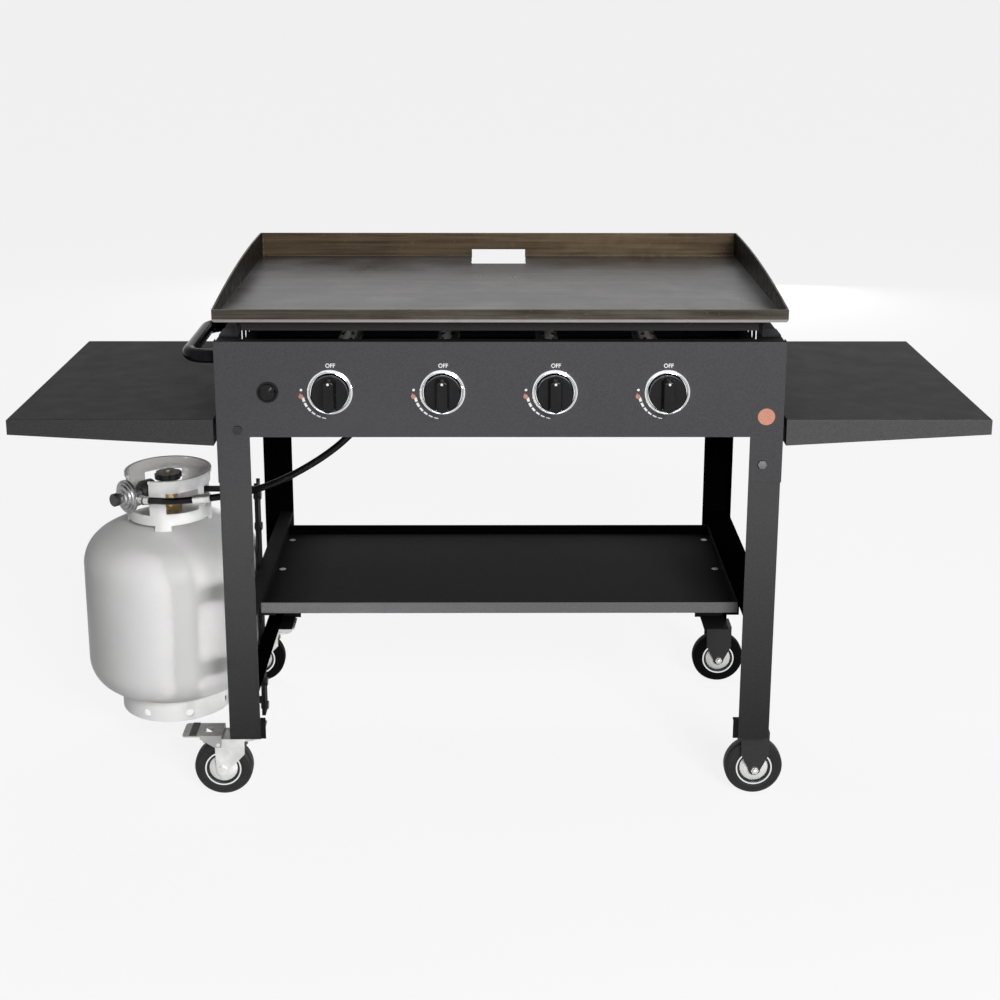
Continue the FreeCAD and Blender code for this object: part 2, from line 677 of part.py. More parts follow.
def side_shelf():
    """Right side shelf: a sheet tray turned upside down, with deeper flanges at the box."""
    top_inner = SIDE_SHELF_TOP - FLANGE_INNER
    top_outer = SIDE_SHELF_TOP - FLANGE_OUTER
    outline = [
        (SIDE_SHELF_INNER, 0, SIDE_SHELF_TOP), (SIDE_SHELF_OUTER, 0, SIDE_SHELF_TOP),
        (SIDE_SHELF_OUTER, 0, top_outer), (SIDE_SHELF_INNER, 0, top_inner),
    ]
    shelf = prism(outline, (0, SIDE_SHELF_DEPTH, 0))

    def rim(edge):
        box_of = edge.BoundBox
        return box_of.ZMin > SIDE_SHELF_TOP - 0.1 and box_of.XMax > SIDE_SHELF_INNER + 1

    shelf = fillet(shelf, 2.0, rim)
    room = SHEET
    hollow = [
        (SIDE_SHELF_INNER + room, room, SIDE_SHELF_TOP - room),
        (SIDE_SHELF_OUTER - room, room, SIDE_SHELF_TOP - room),
        (SIDE_SHELF_OUTER - room, room, top_outer - 60), (SIDE_SHELF_INNER + room, room, top_inner - 60),
    ]
    shelf = shelf.cut(prism(hollow, (0, SIDE_SHELF_DEPTH - 2 * room, 0)))
    for y in HANGER_Y:
        shelf = cut(shelf, keyhole(y))
    return shelf


def keyhole(y):
    """A slot that rests on the bolt shank, with a round mouth below that lets the head through."""
    start = (SIDE_SHELF_INNER - 1, y, HANGER_Z)
    narrow = HANGER_SHANK + 0.4
    neck = rod(start, (1, 0, 0), narrow, SHEET + 2)
    slot = box(SIDE_SHELF_INNER - 1, SIDE_SHELF_INNER + SHEET + 1, y - narrow, y + narrow,
               HANGER_Z - LIFT_OFF, HANGER_Z)
    mouth = rod((start[0], y, HANGER_Z - LIFT_OFF), (1, 0, 0), 8.0, SHEET + 2)
    return [neck, slot, mouth]


def push_handle():
    """A bent tube with a round foot at each end, bolted to the left side panel."""
    wall = -SIDE_PANEL_HALF
    out = -HANDLE_OUT
    bend = HANDLE_BEND
    reach = bend * (1 - math.sqrt(0.5))
    near, far, z = HANDLE_NEAR, HANDLE_FAR, HANDLE_Z
    a = V(wall - 3, near, z)
    b = V(out + bend, near, z)
    c = V(out, near + bend, z)
    d = V(out, far - bend, z)
    e = V(out + bend, far, z)
    f = V(wall - 3, far, z)
    path = Part.Wire([
        Part.makeLine(a, b),
        Part.Arc(b, V(out + reach, near + reach, z), c).toShape(),
        Part.makeLine(c, d),
        Part.Arc(d, V(out + reach, far - reach, z), e).toShape(),
        Part.makeLine(e, f),
    ])
    tube, bore = [path.makePipeShell([Part.Wire(Part.makeCircle(r, a, V(-1, 0, 0)))], True, True)
                  for r in (HANDLE_TUBE, HANDLE_TUBE - HANDLE_WALL)]
    feet = []
    for y in (near, far):
        leg_gap = LEG_STEEL if y == near else 0
        feet.append(rod((wall - leg_gap, y, z), (-1, 0, 0), HANDLE_FOOT, 3.2 - leg_gap))
    return fuse([tube.cut(bore)] + feet)


# Casters

def caster_brackets():
    """A folded plate in the foot of each leg; its front wall stands out past the inner edge of the leg."""
    solids = []
    outer = LEG_HALF - LEG_STEEL
    wall_inner = LEG_HALF - LEG_WIDTH - 8.5
    base_inner = LEG_HALF - LEG_WIDTH + 2
    steel = 2.5
    for side in (-1, 1):
        for y, front in zip(WHEEL_PLANES, (True, False)):
            y0 = SHEET + LEG_STEEL if front else y - 30
            y1 = y + 30 if front else BOX_BACK
            base = box(base_inner, outer, y0, y1, LEG_BOTTOM, LEG_BOTTOM + steel)
            wall_y = y0 if front else y1 - steel
            wall = box(wall_inner, outer, wall_y, wall_y + steel, LEG_BOTTOM, LEG_BOTTOM + 34)
            bracket = fuse([base, wall])
            solids.append(bracket if side > 0 else mirror_x(bracket))
    return Part.makeCompound(solids)


def swivel_plates():
    """Top plate, upper race and kingpin of each swivel caster, fixed to the leg."""
    solids = []
    for y in WHEEL_PLANES:
        plate = box(SWIVEL_X - 28, SWIVEL_X + 28, y - 28, y + 28, LEG_BOTTOM - SWIVEL_PLATE, LEG_BOTTOM)
        plate = fillet(plate, 8.0, lambda e: runs_along(e, (0, 0, 1)))
        race_height = LEG_BOTTOM - SWIVEL_PLATE - CROWN_TOP - 0.5
        profile = [(0, 0), (RACE_RADIUS - 2, 0), (RACE_RADIUS, 2.5), (RACE_RADIUS, race_height),
                   (0, race_height)]
        race = revolve(profile, (SWIVEL_X, y, CROWN_TOP + 0.5), (0, 0, 1), (1, 0, 0))
        pin = rod((SWIVEL_X, y, CROWN_BOTTOM - 0.4), (0, 0, 1), KINGPIN_RADIUS, 6)
        head = rod((SWIVEL_X, y, CROWN_BOTTOM - 4.4), (0, 0, 1), 10.0, 4)
        solids.append(fuse([plate, race, pin, head]))
    return Part.makeCompound(solids)


def fork_cheek(y, thickness, axle_x, top_x0, top_x1, top_z, taper_z):
    """One side plate of a fork: straight at the top, then tapering to a round end at the axle."""
    end = 10.0
    axle_z = WHEEL_RADIUS
    left = V(axle_x - end, y, axle_z)
    low = V(axle_x, y, axle_z - end)
    right = V(axle_x + end, y, axle_z)
    points = [right, V(top_x1, y, taper_z), V(top_x1, y, top_z), V(top_x0, y, top_z),
              V(top_x0, y, taper_z), left]
    edges = [Part.makeLine(a, b) for a, b in zip(points, points[1:])]
    edges.append(Part.Arc(left, low, right).toShape())
    return Part.Face(Part.Wire(edges)).extrude(V(0, thickness, 0))


NUT_WIDTH = 12.0
NUT_DOME = 5.4


def axle_with_nuts(x, y):
    """The axle, with a domed nut at each end."""
    half = FORK_INNER + FORK_STEEL
    solids = [rod((x, y - half, WHEEL_RADIUS), (0, 1, 0), AXLE_RADIUS, 2 * half)]
    for way in (-1, 1):
        solids.append(hexagon((x, y + way * half, WHEEL_RADIUS), (0, way, 0), NUT_WIDTH, 5.0))
        solids.append(Part.makeSphere(NUT_DOME, V(x, y + way * (half + 3.5), WHEEL_RADIUS)))
    return solids


def riveted_axle(x, y):
    """The axle, with a flat head at each end."""
    half = FORK_INNER + FORK_STEEL
    axle = rod((x, y - half - 2.5, WHEEL_RADIUS), (0, 1, 0), AXLE_RADIUS, 2 * half + 5)
    heads = [rod((x, y + way * half, WHEEL_RADIUS), (0, way, 0), 8.0, 2.5) for way in (-1, 1)]
    return [axle] + heads


def swivel_fork(y):
    """Crown under the race, two cheeks leaning back to the axle, riveted axle and pedal pins."""
    crown = box(SWIVEL_X - 56, SWIVEL_X, y - FORK_INNER - FORK_STEEL, y + FORK_INNER + FORK_STEEL,
                CROWN_BOTTOM, CROWN_TOP)
    nose = rod((SWIVEL_X, y, CROWN_BOTTOM), (0, 0, 1), FORK_INNER + FORK_STEEL, CROWN_TOP - CROWN_BOTTOM)
    solids = [crown, nose]
    axle_x = SWIVEL_X - TRAIL
    front_x, back_x = SWIVEL_X - 56, SWIVEL_X - 6
    for cheek_y in (y - FORK_INNER - FORK_STEEL, y + FORK_INNER):
        solids.append(fork_cheek(cheek_y, FORK_STEEL, axle_x, front_x, back_x, CROWN_BOTTOM, 80.0))
    pin_x, pin_z = PEDAL_PIVOT
    reach = FORK_INNER + FORK_STEEL + 3.5
    for side in (-1, 1):
        solids.append(rod((pin_x, y + side * FORK_INNER, pin_z), (0, side, 0), 3.0, reach - FORK_INNER))
    solids += riveted_axle(axle_x, y)
    hole = rod((SWIVEL_X, y, CROWN_BOTTOM - 1), (0, 0, 1), KINGPIN_RADIUS + RUNNING_GAP, 6)
    return fuse(solids).cut(hole)


def brake_pedal(y):
    """A folded lever whose cheeks turn on pins in the fork; its toe bears on the tyre when pressed."""
    pin_x, pin_z = PEDAL_PIVOT
    inside = FORK_INNER + FORK_STEEL + 0.5
    outside = inside + 2.0
    tip = SWIVEL_X - PEDAL_TIP
    heel = SWIVEL_X - 44
    plate = box(tip, heel, y - outside, y + outside, PEDAL_TOP - 2.5, PEDAL_TOP)
    plate = fillet(plate, 6.0, lambda e: runs_along(e, (0, 0, 1)) and e.BoundBox.XMax < tip + 1)
    window = box(tip + 34, tip + 50, y - 9, y + 9, PEDAL_TOP - 5, PEDAL_TOP + 1)
    window = fillet(window, 4.0, lambda e: runs_along(e, (0, 0, 1)))
    solids = [plate.cut(window)]
    for side in (-1, 1):
        cheek_y = y + inside if side > 0 else y - outside
        outline = [(tip + 30, cheek_y, PEDAL_TOP - 1), (heel, cheek_y, PEDAL_TOP - 1),
                   (heel, cheek_y, pin_z + 3), (pin_x + 5, cheek_y, pin_z - 5),
                   (pin_x - 6, cheek_y, pin_z - 5), (tip + 30, cheek_y, PEDAL_TOP - 6)]
        solids.append(prism(outline, (0, 2.0, 0)))
    ridge = box(tip + 12, tip + 24, y - outside + 1, y + outside - 1, PEDAL_TOP, PEDAL_TOP + 1.5)
    toe = box(tip + 33, tip + 36, y - 10, y + 10, PEDAL_TOP - 20, PEDAL_TOP - 1)
    solids += [ridge, toe]
    hole = rod((pin_x, y - 40, pin_z), (0, 1, 0), 3.0 + RUNNING_GAP, 80)
    return fuse(solids).cut(hole)


def rigid_forks():
    solids = []
    left, right = RIGID_X - 24, RIGID_X + 24
    half = FORK_INNER + FORK_STEEL
    for y in WHEEL_PLANES:
        parts = [box(left, right, y - half, y + half, LEG_BOTTOM - FORK_STEEL, LEG_BOTTOM)]
        for cheek_y in (y - half, y + FORK_INNER):
            parts.append(fork_cheek(cheek_y, FORK_STEEL, RIGID_X, left, right, LEG_BOTTOM, 78.0))
        solids.append(fuse(parts + axle_with_nuts(RIGID_X, y)))
    return Part.makeCompound(solids)


def tyre(x, y):
    half = TYRE_WIDTH / 2
    profile = [
        (HUB_RADIUS, -half + 1), (36.0, -half), (44.0, -half + 0.6), (48.0, -half + 3.2),
        (WHEEL_RADIUS - 0.3, -half + 7), (WHEEL_RADIUS, 0), (WHEEL_RADIUS - 0.3, half - 7),
        (48.0, half - 3.2), (44.0, half - 0.6), (36.0, half), (HUB_RADIUS, half - 1),
    ]
    return revolve(profile, (x, y, WHEEL_RADIUS), (0, 1, 0), (1, 0, 0))


def hub(x, y):
    """Pressed steel wheel centre: a rim ring, a groove, a domed disc each side, a bore for the axle."""
    bore = AXLE_RADIUS + RUNNING_GAP
    barrel = HUB_LENGTH / 2
    rim = TYRE_WIDTH / 2 + 0.6
    outer_side = [
        (bore, barrel), (11.0, barrel), (18.0, 15.2), (23.0, 12.6), (25.4, 9.6), (27.6, 9.0), (28.6, rim),
        (HUB_RADIUS, rim),
    ]
    profile = [(r, -h) for r, h in outer_side] + [(r, h) for r, h in reversed(outer_side)]
    return revolve(profile, (x, y, WHEEL_RADIUS), (0, 1, 0), (1, 0, 0))


# Gas tank and its gear

def tank_form(inset):
    """A cylinder with two torispherical heads, at the outside of the steel or inset from it."""
    axis = V(TANK_X, TANK_Y, 0)
    angle = math.radians(KNUCKLE_ANGLE)
    knee_centre = TANK_RADIUS - KNUCKLE
    knee = KNUCKLE - inset
    crown = (knee_centre + KNUCKLE * math.cos(angle)) / math.cos(angle) - inset
    crown_drop = (crown + inset - KNUCKLE) * math.sin(angle)

    def head(level, way):
        """Points up the head, from the cylinder to the pole: two arcs and their middles."""
        def on_knee(turn):
            return axis + V(knee_centre + knee * math.cos(turn), 0, level + way * knee * math.sin(turn))

        def on_crown(turn):
            rise = crown * math.sin(turn) - crown_drop
            return axis + V(crown * math.cos(turn), 0, level + way * rise)

        lean = (math.pi / 2 + angle) / 2
        pole = axis + V(0, 0, level + way * (crown - crown_drop))
        return on_knee(0), on_knee(angle / 2), on_knee(angle), on_crown(lean), pole

    low = head(CYLINDER_BOTTOM, -1)
    high = head(CYLINDER_TOP, 1)
    edges = [
        Part.Arc(low[4], low[3], low[2]).toShape(),
        Part.Arc(low[2], low[1], low[0]).toShape(),
        Part.makeLine(low[0], high[0]),
        Part.Arc(high[0], high[1], high[2]).toShape(),
        Part.Arc(high[2], high[3], high[4]).toShape(),
        Part.makeLine(high[4], low[4]),
    ]
    return Part.Face(Part.Wire(edges)).revolve(axis, V(0, 0, 1), 360)


def tank_shell():
    return tank_form(0).cut(tank_form(TANK_STEEL))


def wedge(angle, half_angle, z0, z1, reach=130.0):
    """A sector of the ring round the tank's axis, for windows in the collar and ring."""
    corners = [V(TANK_X, TANK_Y, z0)]
    for turn in (-half_angle, 0, half_angle):
        a = math.radians(angle + turn)
        corners.append(V(TANK_X + reach * math.cos(a), TANK_Y + reach * math.sin(a), z0))
    return Part.Face(Part.makePolygon(corners + [corners[0]])).extrude(V(0, 0, z1 - z0))


def ring(radius, steel, z0, z1):
    base = (TANK_X, TANK_Y, z0)
    return rod(base, (0, 0, 1), radius, z1 - z0).cut(rod(base, (0, 0, 1), radius - steel, z1 - z0))


def tank_collar():
    """A guard ring open towards the regulator, with hand holes, standing on the top of the shell."""
    collar = ring(COLLAR_RADIUS, COLLAR_STEEL, COLLAR_BOTTOM - 8, TANK_TOP)
    rim = ring(COLLAR_RADIUS + 2.5, COLLAR_STEEL + 2.5, TANK_TOP - 5, TANK_TOP)
    collar = fuse([collar, rim])
    windows = [wedge(232.5, 21.5, 452.0, TANK_TOP + 1)]
    for angle, half_angle in ((301.0, 24), (2.0, 25), (110.0, 28)):
        windows.append(wedge(angle, half_angle, *COLLAR_WINDOW))
    for angle in COLLAR_FEET:
        windows.append(wedge(angle + 45, 45 - FOOT_HALF_ANGLE, COLLAR_BOTTOM - 10, COLLAR_BAND))
    return cut(collar, windows).cut(tank_form(0))


def tank_foot_ring():
    foot = ring(RING_RADIUS, COLLAR_STEEL, TANK_BOTTOM, 122.0)
    for step in range(8):
        angle = math.radians(22.5 + 45 * step)
        way = (math.cos(angle), math.sin(angle), 0)
        start = (TANK_X + way[0] * 90, TANK_Y + way[1] * 90, TANK_BOTTOM + 14)
        foot = foot.cut(rod(start, way, 7.0, 20))
    return foot.cut(tank_form(0))


def outlet_axis():
    angle = math.radians(OUTLET_ANGLE)
    return V(math.cos(angle), math.sin(angle), 0)


def outlet_point(distance):
    return V(TANK_X, TANK_Y, OUTLET_Z) + outlet_axis() * distance


def tank_valve():
    """Brass valve: body up from the shell, side outlet towards the regulator, spindle on top."""
    shell_top = tank_form(0).BoundBox.ZMax
    base = (TANK_X, TANK_Y, shell_top - 0.4)
    body = rod(base, (0, 0, 1), 15.0, OUTLET_Z + 12 - base[2])
    flats = hexagon(base, (0, 0, 1), 38.0, 16.0)
    outlet = rod(outlet_point(0), outlet_axis(), 11.0, 50.0)
    spindle = rod((TANK_X, TANK_Y, OUTLET_Z + 12), (0, 0, 1), 4.0, 14.0)
    bore = rod(outlet_point(42), outlet_axis(), 5.0, 10.0)
    return fuse([body, flats, outlet, spindle]).cut(bore).cut(tank_form(0))


def tank_handwheel():
    """A fluted wheel on the valve spindle."""
    wheel = rod((TANK_X, TANK_Y, OUTLET_Z + 12.8), (0, 0, 1), 24.0, 11.0)
    wheel = wheel.makeFillet(2.0, [e for e in wheel.Edges if e.Closed])
    for step in range(6):
        angle = math.radians(60 * step)
        centre = (TANK_X + 29 * math.cos(angle), TANK_Y + 29 * math.sin(angle), OUTLET_Z)
        wheel = wheel.cut(rod(centre, (0, 0, 1), 9.0, 40))
    return wheel.cut(rod((TANK_X, TANK_Y, OUTLET_Z), (0, 0, 1), 4.0 + RUNNING_GAP, 40))


NUT_START = 34.0
NUT_END = 62.0
DISC_CENTRE = 88.0
PORT_OFFSET = 8.0
PORT_REACH = 41.0
PORT_LENGTH = 30.0


def coupling_nut():
    """The hand-tight nut that draws the regulator on to the tank valve."""
    outer = 20.0
    thread = 11.0 + RUNNING_GAP
    neck = 8.0 + RUNNING_GAP
    length = NUT_END - NUT_START
    profile = [
        (thread, 0), (outer - 1.5, 0), (outer, 1.5), (outer, length - 8), (14.0, length), (neck, length),
        (neck, 18.0), (thread, 18.0),
    ]
    nut = revolve(profile, outlet_point(NUT_START), outlet_axis(), (0, 0, 1))
    across = outlet_axis().cross(V(0, 0, 1))
    for step in range(10):
        angle = math.radians(36 * step)
        way = across * math.cos(angle) + V(0, 0, 1) * math.sin(angle)
        groove = rod(outlet_point(NUT_START - 1) + way * (outer + 1.0), outlet_axis(), 2.4, length - 8)
        nut = nut.cut(groove)
    return nut


def regulator():
    """Inlet nipple, two clamped dishes round the diaphragm, the vent cap, and the side port."""
    neck = 8.0
    gap = NUT_START + 18.6 - DISC_CENTRE
    profile = [
        (0, gap), (neck, gap), (neck, -14.0), (15.0, -11.0), (25.0, -4.5), (28.0, -3.4), (29.6, -2.4),
        (29.6, 2.4), (28.0, 3.6), (26.4, 3.4), (25.4, 5.4), (23.0, 6.4), (21.6, 6.0), (20.4, 8.6),
        (17.0, 10.4), (15.4, 10.2), (13.6, 12.6), (9.4, 14.2), (9.4, 19.5), (11.4, 20.0),
        (11.4, 28.0), (10.0, 29.5), (0, 29.5),
    ]
    body = revolve(profile, outlet_point(DISC_CENTRE), outlet_axis(), (0, 0, 1))
    port = rod(outlet_point(DISC_CENTRE - PORT_OFFSET), hose_start_axis(), 8.0, PORT_LENGTH)
    return fuse([body, port])


def hose_start_axis():
    """The side port points square to the outlet, towards the front right."""
    return outlet_axis().cross(V(0, 0, -1)).normalize()


def hose_points():
    start = outlet_point(DISC_CENTRE - PORT_OFFSET) + hose_start_axis() * PORT_REACH
    inlet = V(INLET_X, PIPE_Y, PIPE_Z)
    end = inlet + inlet_direction() * INLET_REACH
    return [start] + [V(*p) for p in HOSE_ROUTE] + [end]


def hose_path():
    """Straight runs joined by tangent arcs, each as large as its two runs allow."""
    points = hose_points()
    edges = []
    last = points[0]
    radii = []
    for before, here, after in zip(points, points[1:], points[2:]):
        incoming = (here - before)
        outgoing = (after - here)
        shorter = min(incoming.Length, outgoing.Length)
        incoming.normalize()
        outgoing.normalize()
        turn = incoming.getAngle(outgoing)
        back = 0.45 * shorter
        radius = back / math.tan(turn / 2)
        radii.append(radius)
        enter = here - incoming * back
        leave = here + outgoing * back
        bisector = (outgoing - incoming).normalize()
        centre = here + bisector * (radius / math.cos(turn / 2))
        middle = centre - bisector * radius
        edges.append(Part.LineSegment(last, enter).toShape())
        edges.append(Part.Arc(enter, middle, leave).toShape())
        last = leave
    edges.append(Part.LineSegment(last, points[-1]).toShape())
    return Part.Wire(edges), radii


def gas_hose():
    path, radii = hose_path()
    points = hose_points()
    section = Part.Wire(Part.makeCircle(HOSE_RADIUS, points[0], points[1] - points[0]))
    hose = path.makePipeShell([section], True, True)
    expected = math.pi * HOSE_RADIUS ** 2 * path.Length
    print("hose length", round(path.Length, 1), "volume ratio", round(hose.Volume / expected, 4))
    print("hose radii", [round(r) for r in radii])
    return hose


def hose_fittings():
    """A gripped fitting at each end of the hose, and a crimped sleeve on it near the first leg."""
    points = hose_points()
    start_axis = hose_start_axis()
    length = PORT_REACH - PORT_LENGTH
    start = rod(points[0] - start_axis * length, start_axis, 8.0, length)
    end_axis = inlet_direction()
    nut = hexagon(points[-1] - end_axis * 14, end_axis, 19.0, 14)
    before, after = points[3], points[4]
    along = (after - before).normalize()
    middle = before + (after - before) * 0.4
    sleeve = rod(middle - along * SLEEVE_LENGTH / 2, along, HOSE_RADIUS + 2.6, SLEEVE_LENGTH)
    sleeve = sleeve.cut(rod(middle - along * SLEEVE_LENGTH, along, HOSE_RADIUS + 0.1, 2 * SLEEVE_LENGTH))
    first = grip_hose(start, points[0], points[1])
    last = grip_hose(nut, points[-1], points[-2])
    return Part.makeCompound([first, last, sleeve])


def grip_hose(fitting, end, beyond):
    """Give a fitting a rounded seat and a ferrule that holds the end of the hose."""
    along = (beyond - end).normalize()
    seat = Part.makeSphere(8.0, end)
    ferrule = rod(end, along, HOSE_RADIUS + 1.6, FERRULE)
    return fuse([fitting, seat, ferrule]).cut(rod(end, along, HOSE_RADIUS, FERRULE + 1))


def tank_holder():
    """Upright channel on the left rails, a shoe under the foot ring and a hook through the collar."""
    outer = box(BAR_OUTER, BAR_INNER, BAR_FRONT, BAR_BACK, BAR_BOTTOM, BAR_TOP)
    inner = box(BAR_OUTER - 1, BAR_INNER - BAR_STEEL, BAR_FRONT + BAR_STEEL, BAR_BACK - BAR_STEEL,
                BAR_BOTTOM - 1, BAR_TOP + 1)
    return Part.makeCompound([drill(outer.cut(inner)), tank_shoe(), tank_hook()])


def holder_plate(z0, z1):
    """Flat strip against the inside of the channel."""
    face = BAR_INNER - BAR_STEEL
    return box(face - HOLDER_STEEL, face, BAR_BOLT_Y - 12, BAR_BOLT_Y + 12, z0, z1)


def tank_shoe():
    """Carries the foot ring from below, with a toe inside the ring and a stop outside it."""
    face = BAR_INNER - BAR_STEEL
    y0, y1 = BAR_BOLT_Y - 12, BAR_BOLT_Y + 12
    ring_outside = TANK_X + RING_RADIUS
    ring_inside = TANK_X + math.sqrt((RING_RADIUS - COLLAR_STEEL) ** 2 - (TANK_Y - y0) ** 2)
    toe_x = ring_inside - 3
    under = TANK_BOTTOM - HOLDER_STEEL
    sole = box(toe_x - HOLDER_STEEL, face, y0, y1, under, TANK_BOTTOM)
    toe = box(toe_x - HOLDER_STEEL, toe_x, y0, y1, under, TANK_BOTTOM + 14)
    stop = box(ring_outside + 1, ring_outside + 1 + HOLDER_STEEL, y0, y1, under, TANK_BOTTOM + 26)
    return drill(fuse([sole, toe, stop, holder_plate(BAR_BOLT_Z[3] - 11, BAR_BOLT_Z[2] + 12)]))


def tank_hook():
    """Reaches from the channel through the right hand hole of the collar and turns down inside it."""
    face = BAR_INNER - BAR_STEEL
    y0, y1 = BAR_BOLT_Y - 12, BAR_BOLT_Y + 12
    inside = TANK_X + math.sqrt((COLLAR_RADIUS - COLLAR_STEEL) ** 2 - (TANK_Y - y0) ** 2) - 2
    top = HOOK_Z + HOLDER_STEEL
    reach = box(inside - HOLDER_STEEL, face, y0, y1, HOOK_Z, top)
    lip = box(inside - HOLDER_STEEL, inside, y0, y1, HOOK_Z - 20, top)
    return drill(fuse([reach, lip, holder_plate(BAR_BOLT_Z[1] - 12, top)]))


# Grease cup

def grease_cup():
    """A tapered tub with a flat rim that slides in the two runners."""
    outer = tub(CUP_TOP_HALF, CUP_BOTTOM_HALF, CUP_FRONT, CUP_BACK, CUP_TAPER, CUP_TOP - CUP_HEIGHT)
    inner = tub(CUP_TOP_HALF - 1.2, CUP_BOTTOM_HALF - 1.2, CUP_FRONT + 1.2, CUP_BACK - 1.2, CUP_TAPER,
                CUP_TOP - CUP_HEIGHT + 1.2)
    rim = box(-CUP_TOP_HALF - CUP_RIM, CUP_TOP_HALF + CUP_RIM, CUP_FRONT - 4, CUP_BACK + CUP_RIM,
              CUP_TOP - 1.5, CUP_TOP)
    return fuse([outer, rim]).cut(inner)


def tub(top_half, bottom_half, front, back, taper, bottom):
    upper = [V(-top_half, front, CUP_TOP), V(top_half, front, CUP_TOP), V(top_half, back, CUP_TOP),
             V(-top_half, back, CUP_TOP)]
    lower = [V(-bottom_half, front + taper, bottom), V(bottom_half, front + taper, bottom),
             V(bottom_half, back - taper, bottom), V(-bottom_half, back - taper, bottom)]
    wires = [Part.makePolygon(loop + [loop[0]]) for loop in (lower, upper)]
    return Part.makeLoft(wires, True, True)


def grease_runners():
    """Two C-shaped runners on the back of the box that hold the rim of the cup."""
    solids = []
    rim = CUP_TOP_HALF + CUP_RIM
    for side in (-1, 1):
        web = box(rim + 0.5, rim + 2.5, BOX_BACK, CUP_BACK - 4, CUP_TOP - 3.5, CUP_TOP + 2.5)
        ledge = box(rim - 4.5, rim + 0.5, BOX_BACK, CUP_BACK - 4, CUP_TOP - 3.5, CUP_TOP - 1.5)
        cover = box(rim - 4.5, rim + 0.5, BOX_BACK, CUP_BACK - 4, CUP_TOP + 0.5, CUP_TOP + 2.5)
        tab = box(rim + 0.5, rim + 18, BOX_BACK, BOX_BACK + 2, CUP_TOP - 16, CUP_TOP + 2.5)
        runner = fuse([web, ledge, cover, tab])
        solids.append(runner if side > 0 else mirror_x(runner))
    return Part.makeCompound(solids)


def save(name, shape):
    shape = shape.copy()
    shape.translate(V(0, DEPTH_SHIFT, 0))
    if not shape.isValid():
        print("not valid:", name)
    shape.exportStep("parts/%s.step" % name)
    print("%-24s solids %2d  faces %4d" % (name, len(shape.Solids), len(shape.Faces)))


def main():
    os.makedirs("parts", exist_ok=True)
    save("griddle_top", griddle_top())
    save("griddle_underframe", griddle_underframe())
    save("front_panel", front_panel())
    save("right_side_panel", side_panel())
    save("left_side_panel", mirror_x(side_panel()))
    save("rear_panel", rear_panel())
    save("burner_tubes", burner_tubes())
    save("burner_rails", burner_rails())
    save("gas_manifold", gas_manifold())
    save("gas_valves", gas_valves())
    for number, x in enumerate(KNOB_X, 1):
        save("valve_stem_%d" % number, valve_stem(x))
        save("knob_%d" % number, knob(x))
    save("knob_bezels", knob_bezels())
    save("igniter_housing", igniter_housing())
    save("igniter_button", igniter_button())
    save("front_left_leg", left_leg(True))
    save("front_right_leg", right_leg(True))
    save("rear_left_leg", left_leg(False))
    save("rear_right_leg", right_leg(False))
    save("left_upper_rail", left_rail(SHELF_TOP))
    save("left_lower_rail", left_rail(LOWER_RAIL_TOP))
    save("right_rail", right_rail())
    save("lower_shelf", lower_shelf())
    save("right_side_shelf", side_shelf())
    save("left_side_shelf", mirror_x(side_shelf()))
    save("push_handle", push_handle())
    save("frame_bolts", frame_bolts())
    save("caster_brackets", caster_brackets())
    save("swivel_plates", swivel_plates())
    save("rigid_forks", rigid_forks())
    for end, y in zip(("front", "rear"), WHEEL_PLANES):
        save(end + "_left_fork", swivel_fork(y))
        save(end + "_left_brake_pedal", brake_pedal(y))
        for side, x in (("left", SWIVEL_X - TRAIL), ("right", RIGID_X)):
            save("%s_%s_tyre" % (end, side), tyre(x, y))
            save("%s_%s_hub" % (end, side), hub(x, y))
    save("tank_shell", tank_shell())
    save("tank_collar", tank_collar())
    save("tank_foot_ring", tank_foot_ring())
    save("tank_valve", tank_valve())
    save("tank_handwheel", tank_handwheel())
    save("coupling_nut", coupling_nut())
    save("regulator", regulator())
    save("gas_hose", gas_hose())
    save("hose_fittings", hose_fittings())
    save("tank_holder", tank_holder())
    save("grease_cup", grease_cup())
    save("grease_runners", grease_runners())


main()
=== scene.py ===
"""Looks of an outdoor gas griddle station: materials, hose, dial markings, lamps, floor and camera.

Metres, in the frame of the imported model: +X to the cook's right, +Y to the back, +Z up.
"""

import json
import math

import bmesh
import bpy
from mathutils import Matrix, Vector


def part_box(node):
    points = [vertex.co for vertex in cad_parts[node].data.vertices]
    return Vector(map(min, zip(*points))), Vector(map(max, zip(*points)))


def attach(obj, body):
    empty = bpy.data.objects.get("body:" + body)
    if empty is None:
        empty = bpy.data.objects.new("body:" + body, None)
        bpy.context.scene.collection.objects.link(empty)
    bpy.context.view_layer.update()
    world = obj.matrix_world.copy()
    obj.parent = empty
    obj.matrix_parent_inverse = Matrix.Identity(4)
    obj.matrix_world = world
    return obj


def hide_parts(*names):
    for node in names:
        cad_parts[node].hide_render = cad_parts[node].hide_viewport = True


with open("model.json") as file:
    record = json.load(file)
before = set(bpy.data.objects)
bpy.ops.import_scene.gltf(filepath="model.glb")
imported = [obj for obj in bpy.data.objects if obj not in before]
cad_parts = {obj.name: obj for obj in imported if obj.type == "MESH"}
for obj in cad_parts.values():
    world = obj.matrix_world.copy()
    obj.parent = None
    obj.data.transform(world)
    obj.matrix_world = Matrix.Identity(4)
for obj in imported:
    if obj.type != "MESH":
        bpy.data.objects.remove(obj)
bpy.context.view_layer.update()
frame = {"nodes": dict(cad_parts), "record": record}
NODES = frame["nodes"]

